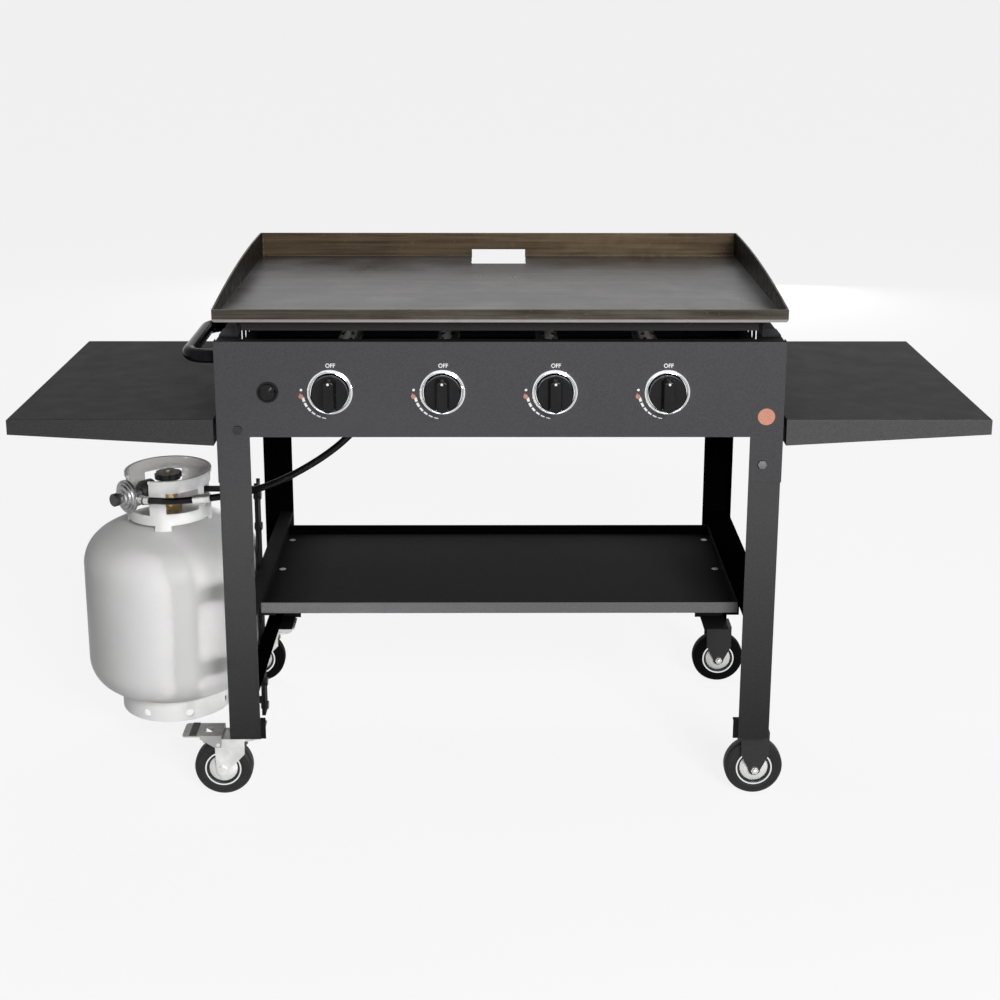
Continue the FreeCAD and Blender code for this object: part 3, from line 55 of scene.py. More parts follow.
# Places on the model; TANK_AXIS is the point of the tank's axis at the height of its outlet, and the
# regulator's vent cap starts CAP_DISTANCE from it, in the direction of OUTLET_ANGLE
PANEL_FACE = -0.273
KNOB_FACE = -0.308
KNOB_X = (-0.2725, -0.0925, 0.0875, 0.2675)
KNOB_Z = 0.7295
PLATE_SURFACE = 0.8485
TANK_AXIS = (-0.593, -0.018, 0.486)
OUTLET_ANGLE = 227.0
CAP_DISTANCE = 0.1076

# Camera: the tilt is in degrees and the two small turns are in radians
IMAGE_SIZE = 1000
SENSOR_WIDTH = 36.0
FOCAL_PIXELS = 1552.76
CAMERA_PLACE = (-0.01729, -2.66930, 1.39977)
CAMERA_TILT = 13.3394
CAMERA_YAW = -0.00693
CAMERA_ROLL = 0.00187
CAMERA_SHIFT = -0.170
CLIP_DISTANCE = 600.0

# Hose route: the same points as the hose of the model
HOSE_DIAMETER = 0.012
HOSE_ROUTE = [
    (-0.61764, -0.10453, 0.4860),
    (-0.5960, -0.1156, 0.4900),
    (-0.5670, -0.1370, 0.4960),
    (-0.5300, -0.1420, 0.5005),
    (-0.4800, -0.1450, 0.5070),
    (-0.4280, -0.1460, 0.5170),
    (-0.3780, -0.1450, 0.5340),
    (-0.3320, -0.1460, 0.5590),
    (-0.2910, -0.1510, 0.5870),
    (-0.2570, -0.1610, 0.6180),
    (-0.2300, -0.1790, 0.6520),
    (-0.21441, -0.21329, 0.68110),
]


# Camera and hose

def make_camera():
    """The photograph's view: about 2.4 m in front of the panel, 1.4 m up, tilted down 13 degrees."""
    data = bpy.data.cameras.new("camera")
    data.sensor_width = SENSOR_WIDTH
    data.lens = FOCAL_PIXELS / IMAGE_SIZE * SENSOR_WIDTH
    data.shift_y = CAMERA_SHIFT
    data.clip_end = CLIP_DISTANCE
    camera = bpy.data.objects.new("camera", data)
    bpy.context.scene.collection.objects.link(camera)
    yaw = Matrix.Rotation(CAMERA_YAW, 4, "Z")
    tilt = Matrix.Rotation(math.radians(90 - CAMERA_TILT), 4, "X")
    roll = Matrix.Rotation(CAMERA_ROLL, 4, "Z")
    camera.matrix_world = Matrix.Translation(CAMERA_PLACE) @ yaw @ tilt @ roll
    bpy.context.scene.camera = camera


def make_hose(material):
    """The gas hose, a hanging cord from the regulator up to the burner box."""
    curve = bpy.data.curves.new("hose", "CURVE")
    curve.dimensions = "3D"
    curve.bevel_depth = HOSE_DIAMETER / 2
    curve.bevel_resolution = 6
    curve.resolution_u = 16
    spline = curve.splines.new("NURBS")
    spline.points.add(len(HOSE_ROUTE) - 1)
    for point, place in zip(spline.points, HOSE_ROUTE):
        point.co = (*place, 1.0)
    spline.order_u = 3
    spline.use_endpoint_u = True
    hose = bpy.data.objects.new("hose", curve)
    bpy.context.scene.collection.objects.link(hose)
    curve.materials.append(material)
    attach(hose, "frame")
    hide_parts("gas_hose")


# Materials

# Sockets of a colour Mix node
MIX_FIRST = 6
MIX_SECOND = 7
MIX_RESULT = 2


class Shader:
    """A material's node tree, with short calls to add and join its nodes."""

    def __init__(self, name, colour, roughness, metallic=0.0, specular=0.5):
        self.material = bpy.data.materials.new(name)
        self.material.use_nodes = True
        self.tree = self.material.node_tree
        self.main = self.tree.nodes["Principled BSDF"]
        self.main.inputs["Base Color"].default_value = (*colour, 1.0)
        self.main.inputs["Metallic"].default_value = metallic
        self.main.inputs["Roughness"].default_value = roughness
        self.main.inputs["Specular IOR Level"].default_value = specular
        self.place = self.node("ShaderNodeTexCoord").outputs["Object"]

    def node(self, kind, **values):
        made = self.tree.nodes.new(kind)
        for key, value in values.items():
            setattr(made, key, value)
        return made

    def join(self, source, target):
        self.tree.links.new(source, target)

    def stretched(self, scale):
        """Object coordinates scaled per axis, so that a pattern can run along one of them."""
        mapping = self.node("ShaderNodeMapping")
        mapping.inputs["Scale"].default_value = scale
        self.join(self.place, mapping.inputs["Vector"])
        return mapping.outputs["Vector"]

    def noise(self, scale, detail, rough=0.5, place=None):
        made = self.node("ShaderNodeTexNoise")
        made.inputs["Scale"].default_value = scale
        made.inputs["Detail"].default_value = detail
        made.inputs["Roughness"].default_value = rough
        self.join(place or self.place, made.inputs["Vector"])
        return made.outputs["Fac"]

    def cells(self, scale):
        made = self.node("ShaderNodeTexVoronoi")
        made.inputs["Scale"].default_value = scale
        self.join(self.place, made.inputs["Vector"])
        return made.outputs["Color"]

    def ramp(self, source, low, high, low_value=0.0, high_value=1.0):
        """A value that goes from low_value to high_value as source goes from low to high."""
        made = self.node("ShaderNodeMapRange")
        made.inputs["From Min"].default_value = low
        made.inputs["From Max"].default_value = high
        made.inputs["To Min"].default_value = low_value
        made.inputs["To Max"].default_value = high_value
        self.join(source, made.inputs["Value"])
        return made.outputs["Result"]

    def blend(self, share, first, second):
        """A colour between two colours or colour outputs."""
        made = self.node("ShaderNodeMix", data_type="RGBA")
        self.join(share, made.inputs["Factor"])
        for index, value in ((MIX_FIRST, first), (MIX_SECOND, second)):
            if isinstance(value, tuple):
                made.inputs[index].default_value = (*value, 1.0)
            else:
                self.join(value, made.inputs[index])
        return made.outputs[MIX_RESULT]

    def axes(self):
        """World X, Y and Z of the point, the object's own because nodes sit at the origin."""
        parts = self.node("ShaderNodeSeparateXYZ")
        self.join(self.place, parts.inputs["Vector"])
        return parts.outputs

    def colour(self, source):
        self.join(source, self.main.inputs["Base Color"])

    def roughness(self, source):
        self.join(source, self.main.inputs["Roughness"])

    def bump(self, source, strength, depth):
        made = self.node("ShaderNodeBump")
        made.inputs["Strength"].default_value = strength
        made.inputs["Distance"].default_value = depth
        self.join(source, made.inputs["Height"])
        self.join(made.outputs["Normal"], self.main.inputs["Normal"])


def scaled(colour, share):
    return tuple(c * share for c in colour)


def powder_skin(shader):
    """Give a shader the fine pebbles of baked powder; the result is the share of its faint mottling."""
    shader.bump(shader.noise(620.0, detail=2.0), 0.35, 0.00035)
    return shader.ramp(shader.noise(420.0, detail=3.0, rough=0.6), 0.35, 0.65)


def powder_coat(name, colour, roughness, specular):
    """Baked powder: a fine pebbled skin, faintly mottled, with small changes in its sheen."""
    shader = Shader(name, colour, roughness=roughness, specular=specular)
    mottling = powder_skin(shader)
    shader.colour(shader.blend(mottling, scaled(colour, 0.86), scaled(colour, 1.16)))
    sheen = shader.noise(24.0, detail=5.0)
    shader.roughness(shader.ramp(sheen, 0.3, 0.7, roughness - 0.03, roughness + 0.04))
    return shader.material


# Where painted shade starts and where it is full: the height on the front legs, and the distance from
# the middle of the tray
LEG_SHADE = (0.52, 0.12)
TRAY_SHADE = (0.31, 0.42)


def leg_coat():
    """The same powder coat on the front legs, with the shade near the floor painted in."""
    shader = Shader("leg_coat", (0.050, 0.050, 0.051), roughness=0.56, specular=0.12)
    mottling = powder_skin(shader)
    high = shader.blend(mottling, (0.047, 0.047, 0.048), (0.061, 0.061, 0.062))
    low = shader.blend(mottling, (0.014, 0.014, 0.014), (0.021, 0.021, 0.022))
    shader.colour(shader.blend(shader.ramp(shader.axes()["Z"], *LEG_SHADE), high, low))
    return shader.material


def tray_coat():
    """The same powder coat on the lower tray, with the shade at its two ends painted in."""
    shader = Shader("tray_coat", (0.013, 0.013, 0.013), roughness=0.62, specular=0.03)
    mottling = powder_skin(shader)
    middle = shader.blend(mottling, (0.022, 0.022, 0.022), (0.029, 0.029, 0.029))
    end = shader.blend(mottling, (0.0010, 0.0010, 0.0010), (0.0014, 0.0014, 0.0014))
    away = shader.node("ShaderNodeMath", operation="ABSOLUTE")
    shader.join(shader.axes()["X"], away.inputs[0])
    shader.colour(shader.blend(shader.ramp(away.outputs[0], *TRAY_SHADE), middle, end))
    return shader.material


def griddle_steel(name, lightness, tint=(1.0, 1.0, 1.0)):
    """Bare rolled steel, seasoned brown and black by heat and oil, bright below the cooking face with a
    painted highlight on the rounded lower edge.
    """
    shader = Shader(name, (0.05, 0.04, 0.03), metallic=0.5, roughness=0.45, specular=0.25 * lightness)

    def tone(*colour):
        return tuple(c * lightness * t for c, t in zip(colour, tint))

    patches = shader.noise(7.0, detail=6.0, rough=0.6)
    streaks = shader.noise(1.0, detail=5.0, rough=0.65, place=shader.stretched((5.0, 5.0, 190.0)))
    warm = shader.ramp(patches, 0.35, 0.68)
    seasoned = shader.blend(warm, tone(0.026, 0.020, 0.014), tone(0.062, 0.050, 0.036))
    rolled = shader.blend(shader.ramp(streaks, 0.38, 0.72, 0.0, 0.85), seasoned, tone(0.110, 0.098, 0.084))
    scuffs = shader.ramp(shader.noise(90.0, detail=6.0, rough=0.7), 0.62, 0.72, 0.0, 0.5)
    worn = shader.blend(scuffs, rolled, tone(0.16, 0.15, 0.14))
    # Below the cooking face the steel turns light grey: a painted highlight on the rounded lower edge
    height = shader.axes()["Z"]
    edge_blur = 0.0011
    edge = shader.ramp(height, PLATE_SURFACE + edge_blur, PLATE_SURFACE - edge_blur, 0.0, 0.8)
    shader.colour(shader.blend(edge, worn, (0.25, 0.24, 0.23)))
    shader.roughness(shader.ramp(shader.noise(60.0, detail=5.0), 0.3, 0.7, 0.36, 0.55))
    shader.bump(shader.noise(240.0, detail=4.0), 0.30, 0.0004)
    return shader.material


def cooking_plate():
    """The seasoned face of the plate: blue-grey to brown, oily, with wipe marks from side to side."""
    shader = Shader("cooking_plate", (0.045, 0.042, 0.042), metallic=0.6, roughness=0.30)
    patches = shader.noise(6.0, detail=8.0, rough=0.65)
    wipes = shader.noise(1.0, detail=5.0, rough=0.6, place=shader.stretched((3.0, 70.0, 1.0)))
    base = shader.blend(shader.ramp(patches, 0.35, 0.65), (0.030, 0.025, 0.022), (0.075, 0.074, 0.080))
    shader.colour(shader.blend(shader.ramp(wipes, 0.42, 0.75, 0.0, 0.6), base, (0.125, 0.120, 0.122)))
    shader.roughness(shader.ramp(patches, 0.3, 0.7, 0.24, 0.46))
    shader.bump(shader.noise(420.0, detail=3.0), 0.25, 0.0003)
    return shader.material


def zinc_plate(name, colour):
    """Bare or plated pressed steel, with fine brush lines and cloudy patches."""
    shader = Shader(name, colour, metallic=0.85, roughness=0.32)
    clouds = shader.noise(45.0, detail=5.0, rough=0.6)
    dull = scaled(colour, 0.78)
    shader.colour(shader.blend(shader.ramp(clouds, 0.35, 0.7), dull, colour))
    shader.roughness(shader.ramp(clouds, 0.3, 0.7, 0.26, 0.46))
    shader.bump(shader.noise(1.0, detail=3.0, place=shader.stretched((900.0, 900.0, 120.0))), 0.10, 0.0002)
    return shader.material


def galvanised():
    """Hot-dip zinc with its spangle of crystals."""
    shader = Shader("galvanised", (0.50, 0.52, 0.53), metallic=0.85, roughness=0.4)
    crystals = shader.cells(70.0)
    shader.colour(shader.blend(shader.ramp(crystals, 0.0, 1.0), (0.34, 0.36, 0.38), (0.60, 0.62, 0.63)))
    shader.roughness(shader.ramp(crystals, 0.0, 1.0, 0.30, 0.50))
    return shader.material


def chrome():
    shader = Shader("chrome", (0.88, 0.89, 0.90), metallic=1.0, roughness=0.10)
    shader.roughness(shader.ramp(shader.noise(120.0, detail=4.0), 0.35, 0.75, 0.05, 0.14))
    return shader.material


def gloss_black(name, specular, shine):
    """Glossy black, moulded or enamelled, with faint flow marks; shine is its least roughness."""
    shader = Shader(name, (0.008, 0.008, 0.009), roughness=shine, specular=specular)
    flow = shader.noise(60.0, detail=3.0)
    shader.colour(shader.blend(shader.ramp(flow, 0.3, 0.7), (0.004, 0.004, 0.005), (0.008, 0.008, 0.009)))
    shader.roughness(shader.ramp(shader.noise(200.0, detail=4.0), 0.3, 0.75, shine, shine + 0.08))
    shader.bump(flow, 0.04, 0.0004)
    return shader.material


def matte_plastic(name, colour, roughness):
    shader = Shader(name, colour, roughness=roughness)
    cloud = shader.noise(90.0, detail=4.0)
    low = scaled(colour, 0.85)
    shader.colour(shader.blend(shader.ramp(cloud, 0.3, 0.7), low, colour))
    shader.roughness(shader.ramp(cloud, 0.3, 0.7, roughness - 0.06, roughness + 0.08))
    shader.bump(shader.noise(1100.0, detail=2.0), 0.20, 0.0002)
    return shader.material


def tank_enamel(name, tone):
    """Thick pale grey enamel over steel, slightly uneven, with a few specks."""
    shader = Shader(name, (tone, tone, tone), roughness=0.36, specular=0.12)
    cloud = shader.noise(6.0, detail=5.0)
    low = (tone - 0.02, tone - 0.02, tone - 0.025)
    high = (tone + 0.03, tone + 0.03, tone + 0.025)
    clean = shader.blend(shader.ramp(cloud, 0.35, 0.7), low, high)
    specks = shader.ramp(shader.noise(160.0, detail=6.0, rough=0.7), 0.70, 0.80, 0.0, 0.35)
    shader.colour(shader.blend(specks, clean, (0.36, 0.35, 0.33)))
    shader.roughness(shader.ramp(cloud, 0.3, 0.7, 0.32, 0.46))
    shader.bump(shader.noise(260.0, detail=2.0), 0.12, 0.0004)
    return shader.material


def brass():
    shader = Shader("brass", (0.60, 0.46, 0.24), metallic=1.0, roughness=0.3)
    cloud = shader.noise(60.0, detail=5.0)
    shader.colour(shader.blend(shader.ramp(cloud, 0.35, 0.7), (0.42, 0.31, 0.15), (0.64, 0.50, 0.28)))
    shader.roughness(shader.ramp(cloud, 0.3, 0.7, 0.24, 0.44))
    return shader.material


def cast_metal():
    """Cast aluminium with a sand-blasted skin."""
    shader = Shader("cast_metal", (0.42, 0.42, 0.42), metallic=0.9, roughness=0.42)
    cloud = shader.noise(80.0, detail=5.0)
    shader.colour(shader.blend(shader.ramp(cloud, 0.35, 0.7), (0.20, 0.20, 0.20), (0.38, 0.38, 0.38)))
    shader.roughness(shader.ramp(cloud, 0.3, 0.7, 0.30, 0.52))
    shader.bump(shader.noise(900.0, detail=2.0), 0.25, 0.0002)
    return shader.material


def rubber(name, colour, roughness, specular):
    shader = Shader(name, colour, roughness=roughness, specular=specular)
    dust = shader.noise(30.0, detail=6.0, rough=0.65)
    shader.colour(shader.blend(shader.ramp(dust, 0.40, 0.75), colour, scaled(colour, 2.0)))
    shader.roughness(shader.ramp(dust, 0.3, 0.7, roughness - 0.08, roughness + 0.1))
    shader.bump(shader.noise(700.0, detail=3.0), 0.30, 0.0003)
    return shader.material


def paint(name, colour, roughness=0.5):
    """Screen-printed ink whose cover is slightly uneven."""
    shader = Shader(name, colour, roughness=roughness)
    cover = shader.noise(500.0, detail=3.0)
    shader.colour(shader.blend(shader.ramp(cover, 0.3, 0.6), scaled(colour, 0.82), colour))
    return shader.material


# Powder-coated finishes: colour, roughness, specular level
POWDER_COATS = {
    "black_coat": ((0.007, 0.007, 0.007), 0.62, 0.05),
    # Lit and shaded copies of one coat: the right shelf and flange lighter, with light painted in from the
    # right
    "left_shelf_coat": ((0.016, 0.016, 0.017), 0.52, 0.040),
    "right_shelf_coat": ((0.025, 0.025, 0.026), 0.52, 0.050),
    # The flanges are lighter than the shelf tops: painted light on their front faces
    "left_flange_coat": ((0.040, 0.040, 0.041), 0.58, 0.12),
    "right_flange_coat": ((0.066, 0.066, 0.067), 0.58, 0.16),
    # Nearly black: painted shade under the box
    "rear_coat": ((0.0012, 0.0012, 0.0012), 0.75, 0.0),
    "fork_coat": ((0.034, 0.034, 0.035), 0.60, 0.12),
    "panel_coat": ((0.046, 0.045, 0.048), 0.52, 0.20),
    "outer_coat": ((0.040, 0.040, 0.041), 0.55, 0.18),
    # Near black: painted shade inside the box, on the front panel's fold and back and on the burner rails
    "shaded_inside_coat": ((0.010, 0.010, 0.010), 0.70, 0.08),
    # Lighter than the tray's coat: painted light on the front face of the tray's lip
    "lit_lip_coat": ((0.115, 0.115, 0.116), 0.50, 0.25),
    "bar_steel": ((0.020, 0.020, 0.020), 0.60, 0.10),
}

MATERIALS = {name: powder_coat(name, *look) for name, look in POWDER_COATS.items()}
MATERIALS.update({
    "tray_coat": tray_coat(),
    "leg_coat": leg_coat(),
    "griddle_steel": griddle_steel("griddle_steel", 0.62),
    # The side walls' steel, made far darker than the rest: painted shade
    "shaded_side_wall": griddle_steel("shaded_side_wall", 0.17),
    "back_wall": griddle_steel("back_wall", 1.05, (1.0, 0.82, 0.56)),
    "cooking_plate": cooking_plate(),
    "zinc": zinc_plate("zinc_plate", (0.80, 0.80, 0.78)),
    "black_zinc": zinc_plate("black_zinc", (0.035, 0.035, 0.036)),
    "dull_zinc": zinc_plate("dull_zinc", (0.17, 0.17, 0.17)),
    "pedal_zinc": zinc_plate("pedal_zinc", (0.42, 0.42, 0.41)),
    "burner_steel": zinc_plate("burner_steel", (0.40, 0.38, 0.36)),
    "galvanised": galvanised(),
    "cast_aluminium": cast_metal(),
    "chrome": chrome(),
    "valve_brass": brass(),
    "tank_paint": tank_enamel("tank_paint", 0.68),
    # A lighter copy of the tank's enamel: light painted in on the low foot ring, which the lamps reach less
    "ring_enamel": tank_enamel("ring_enamel", 0.93),
    # Lighter copies of the tank's enamel: light painted in on the collar, most on its shaded inside
    "collar_outside": tank_enamel("collar_outside", 0.72),
    "lit_collar_inside": tank_enamel("lit_collar_inside", 0.96),
    "knob_plastic": gloss_black("knob_plastic", 0.20, 0.06),
    "handle_coat": gloss_black("handle_coat", 0.05, 0.08),
    "hose_rubber": gloss_black("hose_rubber", 0.16, 0.08),
    "black_plastic": matte_plastic("black_plastic", (0.020, 0.020, 0.020), 0.5),
    "hub_grey": matte_plastic("hub_grey", (0.82, 0.82, 0.81), 0.35),
    "tyre_rubber": rubber("tyre_rubber", (0.009, 0.009, 0.009), 0.58, 0.25),
    "rear_rubber": rubber("rear_rubber", (0.002, 0.002, 0.002), 0.66, 0.04),
})


# Nodes that look different from the rest of their slot; rear_coat and rear_rubber are nearly black,
# because the shade under the box is painted into them
SPECIAL_COATS = {
    "griddle_underframe": "bar_steel",
    # The burner rails are near black: painted shade under the griddle
    "burner_rails": "shaded_inside_coat",
    "lower_shelf": "tray_coat",
    "push_handle": "handle_coat",
    # The right shelf is lighter than the left: light painted in from the right
    "left_side_shelf": "left_shelf_coat",
    "right_side_shelf": "right_shelf_coat",
    "front_left_leg": "leg_coat",
    "front_right_leg": "leg_coat",
    "rear_left_leg": "rear_coat",
    "rear_right_leg": "rear_coat",
    "left_lower_rail": "rear_coat",
    "right_rail": "rear_coat",
    "rigid_forks": "fork_coat",
    "rear_left_tyre": "rear_rubber",
    "rear_right_tyre": "rear_rubber",
    # Foot ring: light painted into its enamel
    "tank_foot_ring": "ring_enamel",
    # Collar: light painted into its enamel
    "tank_collar": "collar_outside",
    "front_left_brake_pedal": "pedal_zinc",
    "rear_left_brake_pedal": "pedal_zinc",
}


def dress_nodes():
    """Each CAD node takes the material of its slot."""
    slots = {entry["node"]: entry["material_slot"] for entry in frame["record"]["subparts"]}
    for name, node in NODES.items():
        node.data.materials.clear()
        node.data.materials.append(MATERIALS[slots[name]])


def set_faces(name, material, wanted):
    """Give one CAD node's faces another material where wanted(centre, normal) is true."""
    mesh = NODES[name].data
    mesh.materials.append(material)
    index = len(mesh.materials) - 1
    for face in mesh.polygons:
        if wanted(face.center, face.normal):
            face.material_index = index


# Black nodes whose outer sides and backs are lighter than the shaded sides that the front view shows
OUTER_NODES = [
    "rear_left_leg", "rear_right_leg", "left_side_panel", "right_side_panel", "rear_panel", "right_rail",
    "left_upper_rail", "left_lower_rail", "lower_shelf", "caster_brackets", "griddle_underframe",
]

# How much of a face's normal lies along an axis: square to it, nearly so, or turned towards it
SQUARE = 0.9
NEARLY_SQUARE = 0.7
TURNED = 0.5

# A distance that is less than any sheet's thickness
NEAR = 0.0005


def faces_out(centre, normal):
    """True on a face that looks backwards, or away from the middle of the station."""
    outer_x = 0.35
    sideways = abs(normal.x) > NEARLY_SQUARE and normal.x * centre.x > 0 and abs(centre.x) > outer_x
    return normal.y > NEARLY_SQUARE or sideways


def dress_details():
    """Looks that differ within a slot: whole nodes first, then single faces."""
    for name, material in SPECIAL_COATS.items():
        NODES[name].data.materials[0] = MATERIALS[material]
    for name in OUTER_NODES:
        set_faces(name, MATERIALS["outer_coat"], faces_out)
    dress_griddle()
    dress_sheets()
    for end in ("front", "rear"):
        for side in ("left", "right"):
            dress_hub("%s_%s_hub" % (end, side))
    dress_bolts()
    dress_collar()
    dress_regulator()
    dress_pedals()


def dress_griddle():
    """The cooking face, and the inner faces of the back wall and of the two side walls, which are darker
    with painted shade.
    """
    wall_foot = PLATE_SURFACE + 0.0001
    wall_inside = 0.456
    rear_part = 0.2
    set_faces("griddle_top", MATERIALS["cooking_plate"],
              lambda centre, normal: abs(centre.z - PLATE_SURFACE) < NEAR and normal.z > SQUARE)
    set_faces("griddle_top", MATERIALS["back_wall"],
              lambda centre, normal: normal.y < -SQUARE and centre.y > rear_part and centre.z > wall_foot)
    set_faces("griddle_top", MATERIALS["shaded_side_wall"],
              lambda centre, normal: abs(normal.x) > SQUARE and abs(centre.x) < wall_inside
              and centre.z > wall_foot)


def dress_sheets():
    """Painted shade inside the front panel and on the tray's back, painted light on the side shelves' front
    flanges and the tray's lip.
    """
    panel_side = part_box("front_panel")[1].x - NEAR
    # The panel's fold and back are near black: painted shade
    set_faces("front_panel", MATERIALS["shaded_inside_coat"],
              lambda centre, normal: centre.y > PANEL_FACE + NEAR and abs(centre.x) < panel_side)
    # The flanges' lighter coat is painted light on their front faces
    for side in ("left", "right"):
        set_faces(side + "_side_shelf", MATERIALS[side + "_flange_coat"],
                  lambda centre, normal: normal.y < -TURNED)
    shelf_low, shelf_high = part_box("lower_shelf")
    lip_behind = shelf_low.y + 0.002
    rim_front = shelf_high.y - 0.005
    # The tray's lip is lighter: painted light on its front face
    set_faces("lower_shelf", MATERIALS["lit_lip_coat"],
              lambda centre, normal: centre.y < lip_behind and normal.y < -TURNED)
    # The inner face of the tray's back lip is nearly black: painted shade
    set_faces("lower_shelf", MATERIALS["rear_coat"],
              lambda centre, normal: centre.y > rim_front and normal.y < -TURNED)


def dress_hub(name):
    """A bright rim ring round a pale disc, with a dark groove between them."""
    disc_radius = 0.0240
    groove_radius = 0.0280
    low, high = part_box(name)
    middle = (low + high) / 2

    def radius(centre):
        return math.hypot(centre.x - middle.x, centre.z - middle.z)

    set_faces(name, MATERIALS["chrome"], lambda centre, normal: radius(centre) > groove_radius)
    set_faces(name, MATERIALS["black_plastic"],
              lambda centre, normal: disc_radius < radius(centre) < groove_radius)


def dress_bolts():
    """Most bolts near the tank are black and the right leg's is dull; the rigid forks' nuts are bright."""
    tank_side, tank_behind = -0.405, 0.02
    right_leg, leg_behind = 0.38, PANEL_FACE + 0.01
    set_faces("frame_bolts", MATERIALS["black_zinc"],
              lambda centre, normal: centre.x < tank_side and centre.y < tank_behind)
    set_faces("frame_bolts", MATERIALS["dull_zinc"],
              lambda centre, normal: centre.x > right_leg and centre.y < leg_behind)
    nut_start, nut_end, nut_radius = 0.0212, 0.0400, 0.009
    for end in ("front", "rear"):
        low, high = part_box("%s_right_tyre" % end)
        middle = (low + high) / 2
        set_faces("rigid_forks", MATERIALS["zinc"],
                  lambda centre, normal: nut_start < abs(centre.y - middle.y) < nut_end
                  and math.hypot(centre.x - middle.x, centre.z - middle.z) < nut_radius)


def dress_collar():
    """The collar's inner wall is lighter than its outer one, with light painted in where the front wall and
    the shelf above shade it.
    """
    inwards = -0.02

    def faces_axis(centre, normal):
        return (centre.x - TANK_AXIS[0]) * normal.x + (centre.y - TANK_AXIS[1]) * normal.y < inwards

    set_faces("tank_collar", MATERIALS["lit_collar_inside"], faces_axis)


def dress_regulator():
    """The vent cap, outermost on the regulator, is black."""
    angle = math.radians(OUTLET_ANGLE)
    way = Vector((math.cos(angle), math.sin(angle), 0.0))
    cap_start = Vector(TANK_AXIS) + way * CAP_DISTANCE
    set_faces("regulator", MATERIALS["black_plastic"],
              lambda centre, normal: (centre - cap_start).dot(way) > 0)


def dress_pedals():
    """The raised tread across each brake pedal is black."""
    tread_height = 0.0012
    for end in ("front", "rear"):
        name = end + "_left_brake_pedal"
        tread_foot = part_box(name)[1].z - tread_height
        set_faces(name, MATERIALS["black_plastic"], lambda centre, normal: centre.z > tread_foot)


# Markings on the panel
# Places are (x, z) from a knob's centre, except the disc's, which is the model's own. The band's angles
# are in degrees, counted from +X towards +Z.

INK_THICKNESS = 0.0002
BAND_START = 192.0
BAND_END = 264.0
BAND_GAP = 3.2
BAND_DASHES = 6
BAND_RADIUS = 0.0447
BAND_WIDTH = 0.0044
BAND_THINNING = 0.0006
HIGH_DOT = (-0.0463, 0.0033)
DOT_RADIUS = 0.0021
KNOB_DOT_HEIGHT = 0.0215
FLAME_PLACE = (-0.0465, -0.0066)
WORD_PLACE = (0.0012, 0.0432)
WORD_SIZE = 0.0095
WORD_NARROWING = 0.95
WORD_BOLDNESS = 0.0002
WORD_LIFT = 0.00015
DISC_PLACE = (0.4285, 0.688)
DISC_RADIUS = 0.0138
DISC_RIM_RADIUS = 0.0156
DISC_POINTS = 40


def mesh_piece(name, build, material, body):
    """A mesh that build(work) makes, carried by a CAD body."""
    mesh = bpy.data.meshes.new(name)
    work = bmesh.new()
    build(work)
    work.normal_update()
    work.to_mesh(mesh)
    work.free()
    piece = bpy.data.objects.new(name, mesh)
    bpy.context.scene.collection.objects.link(piece)
    mesh.materials.append(material)
    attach(piece, body)


def flat_shape(work, points, y, thickness=INK_THICKNESS):
    """A thin plate in the panel's plane from (x, z) points, facing the cook."""
    face = work.faces.new([work.verts.new((x, y, z)) for x, z in points])
    made = bmesh.ops.extrude_face_region(work, geom=[face])
    moved = [item for item in made["geom"] if isinstance(item, bmesh.types.BMVert)]
    bmesh.ops.translate(work, verts=moved, vec=(0, -thickness, 0))


def circle_points(x, z, radius, count=24):
    steps = [2 * math.pi * step / count for step in range(count)]
    return [(x + radius * math.cos(a), z + radius * math.sin(a)) for a in steps]


def arc_points(x, z, inner, outer, start, end):
    """A stretch of ring between two angles, in degrees."""
    count = 8
    turns = [math.radians(start + (end - start) * step / count) for step in range(count + 1)]
    out = [(x + outer * math.cos(a), z + outer * math.sin(a)) for a in turns]
    back = [(x + inner * math.cos(a), z + inner * math.sin(a)) for a in reversed(turns)]
    return out + back


def heat_marks(x):
    """A white band of dashes that thins from high, at the left of the knob, to low, below it."""
    def build(work):
        span = (BAND_END - BAND_START) / BAND_DASHES
        for step in range(BAND_DASHES):
            half = (BAND_WIDTH - BAND_THINNING * step) / 2
            start = BAND_START + span * step
            inner, outer = BAND_RADIUS - half, BAND_RADIUS + half
            dash = arc_points(x, KNOB_Z, inner, outer, start, start + span - BAND_GAP)
            flat_shape(work, dash, PANEL_FACE)
        flat_shape(work, circle_points(x + HIGH_DOT[0], KNOB_Z + HIGH_DOT[1], DOT_RADIUS), PANEL_FACE)
    return build


def flame_mark(x):
    """A small flame at the high setting."""
    shape = [(0.0, -0.0050), (0.0030, -0.0038), (0.0040, -0.0010), (0.0022, 0.0012), (0.0016, 0.0035),
             (-0.0002, 0.0012), (-0.0012, 0.0050), (-0.0030, 0.0022), (-0.0042, -0.0012), (-0.0028, -0.0040)]

    def build(work):
        points = [(x + FLAME_PLACE[0] + a, KNOB_Z + FLAME_PLACE[1] + b) for a, b in reversed(shape)]
        flat_shape(work, points, PANEL_FACE)
    return build


def word_off(x, number, material):
    """The word OFF above a knob, as thin solid letters."""
    curve = bpy.data.curves.new("off_word_%d" % number, "FONT")
    curve.body = "OFF"
    curve.size = WORD_SIZE
    curve.offset = WORD_BOLDNESS
    curve.align_x = "CENTER"
    curve.align_y = "CENTER"
    curve.extrude = INK_THICKNESS / 2
    word = bpy.data.objects.new("off_word_%d" % number, curve)
    bpy.context.scene.collection.objects.link(word)
    word.rotation_euler = (math.pi / 2, 0, 0)
    word.scale = (WORD_NARROWING, 1.0, 1.0)
    word.location = (x + WORD_PLACE[0], PANEL_FACE - WORD_LIFT, KNOB_Z + WORD_PLACE[1])
    curve.materials.append(material)
    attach(word, "frame")


